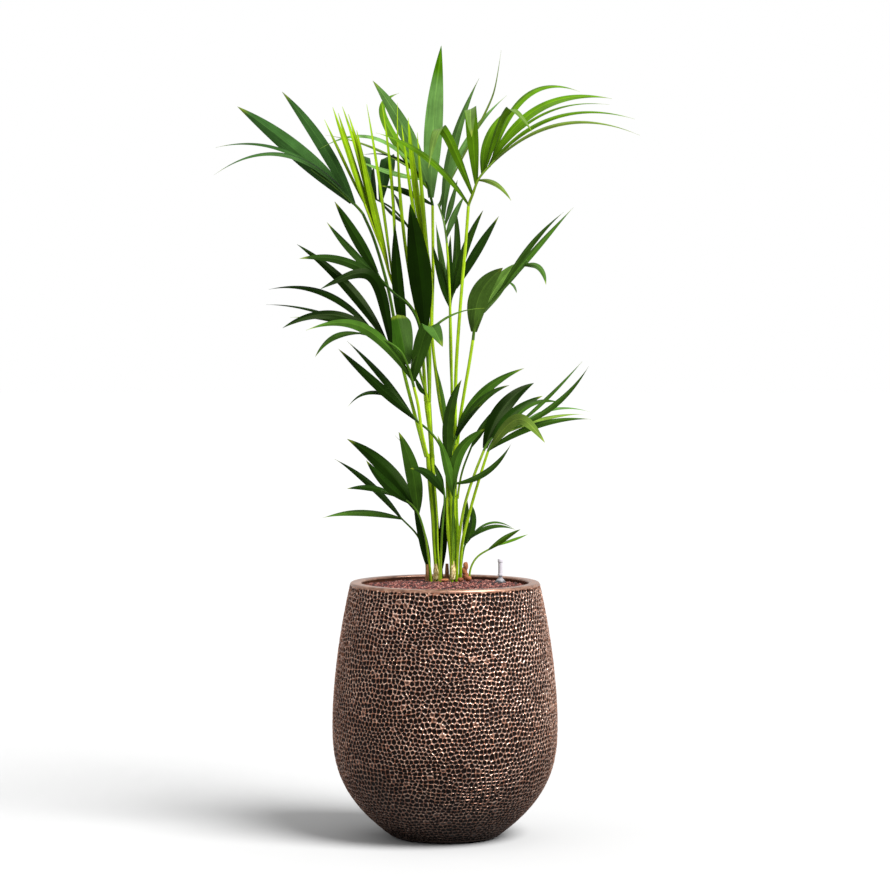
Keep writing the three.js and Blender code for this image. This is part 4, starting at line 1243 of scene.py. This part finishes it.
# %% Blades
BLADES = {
    "upper_left": [
        [(-220, 1405), (-260, 1438), (-292, 1460)], 105, 120, 3.2, 2, "cool",
        (0.2, -283, 1538, -354, 1628, 28, 60), (0.24, -350, 1522, -451, 1596, 41, -70),
        (0.08, -385, 1494, -502, 1448, 10, 50), (0.3, -385, 1511, -499, 1507, 9, -60),
    ],
    "back_left": [
        [(-80, 1335), (-115, 1375), (-152, 1396)], 130, 200, 3, 2, "dark dark cool dark cool",
        (0.35, -112, 1362, -144, 1394, 8, 30), (0.44, -99, 1384, -112, 1408, 8, -60),
        (0.9, -124, 1488, -112, 1452, 27, -60, 3), (0.97, -155, 1430, -155, 1467, 11, 50),
        (0.99, -174, 1488, -160, 1450, 20, -90, 3),
    ],
    "tall_back": [
        [(-31, 1400), (-39, 1430), (-52, 1446)],
        150, 160, 3.2, 2, "dark crest fresh sage sage olive sage dark",
        (0.03, -85, 1412, -138, 1424, 14, 50), (0.25, -25, 1560, -8, 1728, 41, -60),
        (0.5, -134, 1600, -100, 1625, 20, -90, 2), (0.68, -100, 1568, -157, 1652, 33, 60),
        (0.84, -125, 1456, -196, 1482, 11, 40), (0.9, -140, 1500, -260, 1534, 6, -90),
        (0.95, -160, 1530, -271, 1505, 9, 80), (0.99, -120, 1490, -185, 1490, 5, 30),
    ],
    "pale_back": [
        [(0, 1332), (-6, 1360), (-15, 1385)], 92, 104, 2.6, 2, "sage sage sage sage olive",
        (0.14, 20, 1362, 42, 1402, 14, 15), (0.43, 14, 1390, 27, 1437, 12, 10),
        (0.6, 18, 1512, 74, 1657, 22, 60), (0.91, 44, 1516, 134, 1620, 14, -70),
        (0.99, 106, 1629, 122, 1718, 5, -100, 6),
    ],
    "dark_fan": [
        [(14, 1180), (24, 1203)], 118, 126, 3, 2.2, "dark green dark green green dark",
        (0.06, -10, 1230, -26, 1296, 14, 10), (0.17, -6, 1260, -20, 1346, 14, -60),
        (0.31, 11, 1245, 12, 1317, 14, -20), (0.53, 25, 1285, 22, 1376, 17, -70),
        (0.74, 42, 1284, 83, 1371, 18, 60), (0.98, 68, 1282, 117, 1358, 20, -60),
    ],
    "arching_right": [
        [(60, 1405), (74, 1440), (108, 1479)],
        30, 0, 3.4, 2, "fresh fresh fresh olive fresh fresh olive fresh fresh fresh fresh",
        (0.02, -50, 1494, -150, 1539, 14, 80), (0.23, -10, 1548, -36, 1462, 20, 100, 2.5),
        (0.44, 56, 1590, 58, 1530, 26, 110, 3), (0.52, 104, 1432, 144, 1392, 11, 60),
        (0.66, 99, 1539, 145, 1591, 19, -60), (0.72, 143, 1589, 192, 1538, 13, 60, 2.5),
        (0.7, 240, 1556, 423, 1534, 8, 90), (0.78, 222, 1584, 357, 1600, 6, -60),
        (0.75, 242, 1574, 412, 1569, 9, 40), (0.84, 212, 1597, 363, 1613, 19, -90),
        (0.9, 190, 1628, 293, 1628, 13, -130),
    ],
    "spear_left": [
        [(-66, 1148), (-110, 1205), (-135, 1280), (-175, 1385)], 52, 40, 3.4, 2.6, "lime",
        (0.5, -172, 1452, -210, 1580, 13, 4), (0.6, -160, 1400, -192, 1545, 13, 8),
        (0.66, -186, 1436, -232, 1582, 12, -5), (0.02, -85, 1290, -103, 1604, 7, 30),
        (0.4, -112, 1390, -138, 1608, 7, 30), (0.43, -140, 1420, -170, 1601, 7, -30),
        (0.78, -181, 1465, -223, 1596, 10, -20), (0.94, -208, 1490, -244, 1595, 10, 20),
        (0.99, -213, 1465, -262, 1568, 7, 0),
    ],
    "mid_left": [
        [(-125, 1205), (-139, 1220), (-148, 1236)], 0, -10, 3, 2.2, "dark",
        (0.35, -224, 1262, -317, 1266, 20, 60), (0.67, -202, 1282, -257, 1345, 16, -40),
        (0.98, -190, 1308, -240, 1390, 24, 40),
    ],
    "lower_left": [
        [(-80, 1029), (-98, 1065), (-140, 1092), (-188, 1104)],
        -10, -90, 3.2, 2, "green moss shade deep deep deep deep deep green green green",
        (0.07, -32, 1118, -5, 1074, 35, 75, 2.5), (0.18, 0, 1136, 86, 1158, 6, 20),
        (0.28, -94, 1092, -104, 1144, 54, -30, 0), (0.6, -170, 1233, -271, 1200, 25, 60, 2),
        (0.67, -207, 1200, -322, 1297, 23, -50), (0.74, -252, 1145, -354, 1115, 20, 50),
        (0.79, -268, 1193, -384, 1199, 14, -70), (0.86, -303, 1157, -390, 1166, 7, -20),
        (0.62, -240, 1131, -337, 1138, 9, 40), (0.1, -186, 1119, -303, 1110, 22, 145, 1.3),
        (0.99, -237, 1098, -283, 1052, 12, 40),
    ],
    "right": [
        [(65, 1116), (82, 1150), (120, 1192), (160, 1236), (179, 1262)],
        30, -40, 3.4, 2, "moss moss green green green green",
        (0.08, 78, 1192, 126, 1246, 44, 70, 1.5), (0.31, 118, 1212, 160, 1257, 34, -80),
        (0.72, 150, 1207, 156, 1191, 6, 40), (0.55, 197, 1308, 258, 1367, 12, 60),
        (0.94, 202, 1249, 220, 1209, 13, 70), (0.42, 195, 1285, 279, 1377, 14, -50),
    ],
    "thin_left": [
        [(-80, 935), (-104, 960), (-122, 971)], 36, 30, 2.6, 2, "dark",
        (0.05, -158, 1001, -232, 1069, 20, 60), (0.15, -154, 1028, -213, 1086, 14, -60),
        (0.7, -168, 974, -212, 943, 8, 50),
    ],
    "low_right_dark": [
        [(92, 862), (103, 876)], 0, 0, 3, 2.4, "deep dark",
        (0.15, 126, 940, 194, 995, 34, -70), (0.98, 150, 931, 213, 967, 20, -50),
    ],
    "low_right": [
        [(108, 869), (134, 890), (160, 901)], -30, -60, 3, 2, "green olive olive green green green sage",
        (0.03, 210, 906, 319, 916, 14, 60), (0.08, 160, 916, 218, 865, 24, 110, 2),
        (0.5, 222, 919, 303, 927, 8, -40), (0.66, 190, 950, 258, 950, 10, -60),
        (0.88, 222, 962, 299, 1042, 8, -60), (0.95, 250, 957, 313, 1031, 12, 50),
        (0.99, 240, 939, 316, 932, 6, 0),
    ],
}
RIB_TONES = {"lime": ("7a980e", "86a012"), "fresh": ("748f1c", "6c8c2c"), "sage": ("5f8030", "6a8a48")}
CARRIED_RIB = {"dark": ("1e3a0a", "18300a")}
GREEN_RIB = ("44641a", "34541c")
OWN_STALK = ("7c9a18", "486818", "34541c")


def blade(name, points, radii, tones, rows, first, number):
    """The rib as a thin limb, and a leaflet rooted in its middle for each row. The leaflets are
    numbered on from the number, and the last one's number is returned."""
    tones = tones.split() if " " in tones else [tones] * len(rows)
    carried = name.removesuffix("_frond") in BLADES
    ribs = RIB_TONES.get(tones[0], CARRIED_RIB.get(tones[0], GREEN_RIB) if carried else OWN_STALK)
    parts = [{**limb(points, radii, ribs, 40, 0.02, number, first, lead=first), "finish": 1}]
    roots, _ = smooth_path(points, [row[0] for row in rows], first)
    for number, (root, row, tone) in enumerate(zip(roots, rows, tones), number + 1):
        parts.append(leaflet(root, row, tone, number))
    put_piece(f"{name}_leaflets", joined(parts), [leaf, stalk], name, sharp=75)
    return number


leaflets = 0
for name, (places, start, end, neck_radius, end_radius, tones, *rows) in BLADES.items():
    place, way = neck_of[name]
    points = path_points([STALKS[name][0][-1], *places], start, end)
    points[0] = place + way * CLEAR
    radii = (neck_radius, end_radius)
    leaflets = blade(f"{name}_frond", points, radii, tones, rows, way, leaflets)
print("large fronds", len(BLADES), "with", leaflets, "leaflets")

# %% [markdown]
# The small fronds and single leaves are made the same way, but their stalk and blade are one
# piece that stands on the bed or on a stem. Their rows are like a blade's.

# %% Small fronds and single leaves
SMALL = {
    "centre_frond": [
        "green green green green dark",
        (0.49, 10, 930, 36, 1002, 25, 60), (0.6, -4, 960, -24, 1048, 10, -10),
        (0.94, 80, 958, 140, 990, 16, 70), (0.98, 82, 974, 172, 1027, 20, -10),
        (0.99, 50, 921, 79, 948, 8, 40),
    ],
    "spear_right": [
        "lime",
        (0.98, -60, 1400, -80, 1572, 15, 10), (0.9, -46, 1370, -60, 1540, 9, 14),
        (0.8, -72, 1400, -94, 1556, 9, 6),
    ],
    "broad_dark_leaf": ["deep", (0.98, -56, 1250, -76, 1385, 50, 10)],
    "upright_dark_leaf": [
        "dark deep",
        (0.1, -53, 984, -66, 1010, 10, 16), (0.98, -101, 1200, -109, 1341, 26, 0),
    ],
    "thin_right_leaf": ["green", (0.95, 82, 900, 101, 931, 14, 0)],
    "front_centre": [
        "green",
        (0.86, 4, 822, -16, 880, 19, 14), (0.93, 36, 852, 90, 896, 24, -6),
        (0.99, 85, 798, 145, 863, 13, 90),
    ],
    "front_dark": ["dark", (0.93, -38, 797, -75, 808, 18, 60), (0.99, -14, 797, -24, 820, 12, -6)],
    "low_left": [
        "dark green dark dark dark",
        (0.6, -62, 815, -110, 881, 8, -20), (0.62, -72, 806, -101, 888, 32, 50),
        (0.65, -132, 811, -214, 873, 33, -40), (0.74, -128, 775, -172, 826, 20, 50),
        (0.86, -160, 766, -214, 764, 13, -20),
    ],
    "far_left": [
        "green dark",
        (0.97, -185, 712, -268, 700, 14, 70), (0.99, -163, 774, -241, 829, 15, -60),
    ],
    "low_dark_leaf": ["dark", (0.9, -46, 648, -68, 724, 20, -10)],
    "middle_dark_leaf": ["deep", (0.9, -14, 650, -16, 716, 10, -6), (0.96, -5, 664, 1, 748, 20, -4)],
    "low_right_pair": [
        "green",
        (0.82, 45, 690, 49, 737, 15, 10), (0.88, 60, 692, 57, 731, 16, -20),
        (0.98, 100, 681, 154, 674, 9, 40), (0.99, 100, 690, 151, 676, 5, -30),
    ],
    "far_right": ["fresh", (0.8, 130, 656, 165, 675, 11, 40), (0.98, 144, 651, 181, 664, 6, -20)],
}
for name, (tones, *rows) in SMALL.items():
    *route, foot_radius, end_radius = SMALL_STALKS[name]
    radii = (foot_radius, end_radius)
    leaflets = blade(name, grown(*route), radii, tones, rows, UP, leaflets)
print("small fronds", len(SMALL), "and", leaflets, "leaflets in all")

# %% [markdown]
# Two dry stubs of old stalks stand in the granules by the stems.

# %% Old stubs
STUBS = {"old_stub_left": (-39, 64, 598, 2.6), "old_stub_middle": (4, 74, 600, 3.4)}
STUB_TAPER = np.array([1.4, 1.3, 0.9])
STUB_TONES = ("4a3a22", "6f5d38")
stub = Finish("old_stub")
dry = stub.fibres((1.0, 0.05, 1.0), 4.0)
stub.set(
    Base_Color=stub.ramp(dry, (0.3, "4a2a16"), (0.55, "84582e"), (0.75, "b09060")),
    Roughness=0.8,
)
stub.bump(dry, 0.6, 0.001)
for number, (name, (across, depth, top, radius)) in enumerate(STUBS.items()):
    foot = foot_on("bed", across, depth)
    end = seen(across, top, depth)
    points = [foot, (foot + end) / 2, end]
    skin = limb(points, radius * STUB_TAPER, STUB_TONES, 20, 0.14, 60 + number, UP)
    put_piece(f"{name}_dry", skin, [stub], name)
print("stubs", len(STUBS))

# %% [markdown]
# One CAD node keeps its shape: the growing medium, hidden under the granules. It takes a dark
# earthy finish on its own material slots.

# %% Hidden medium and its finish
earth = Finish("growing_medium_earth")
crumbs = earth.noise(earth.place(), 120.0, 4.0)
earth.set(Base_Color=earth.ramp(crumbs, (0.3, "1c130e"), (0.7, "3d2c22")), Roughness=0.95)
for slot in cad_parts["growing_medium"].material_slots:
    slot.material = earth.material

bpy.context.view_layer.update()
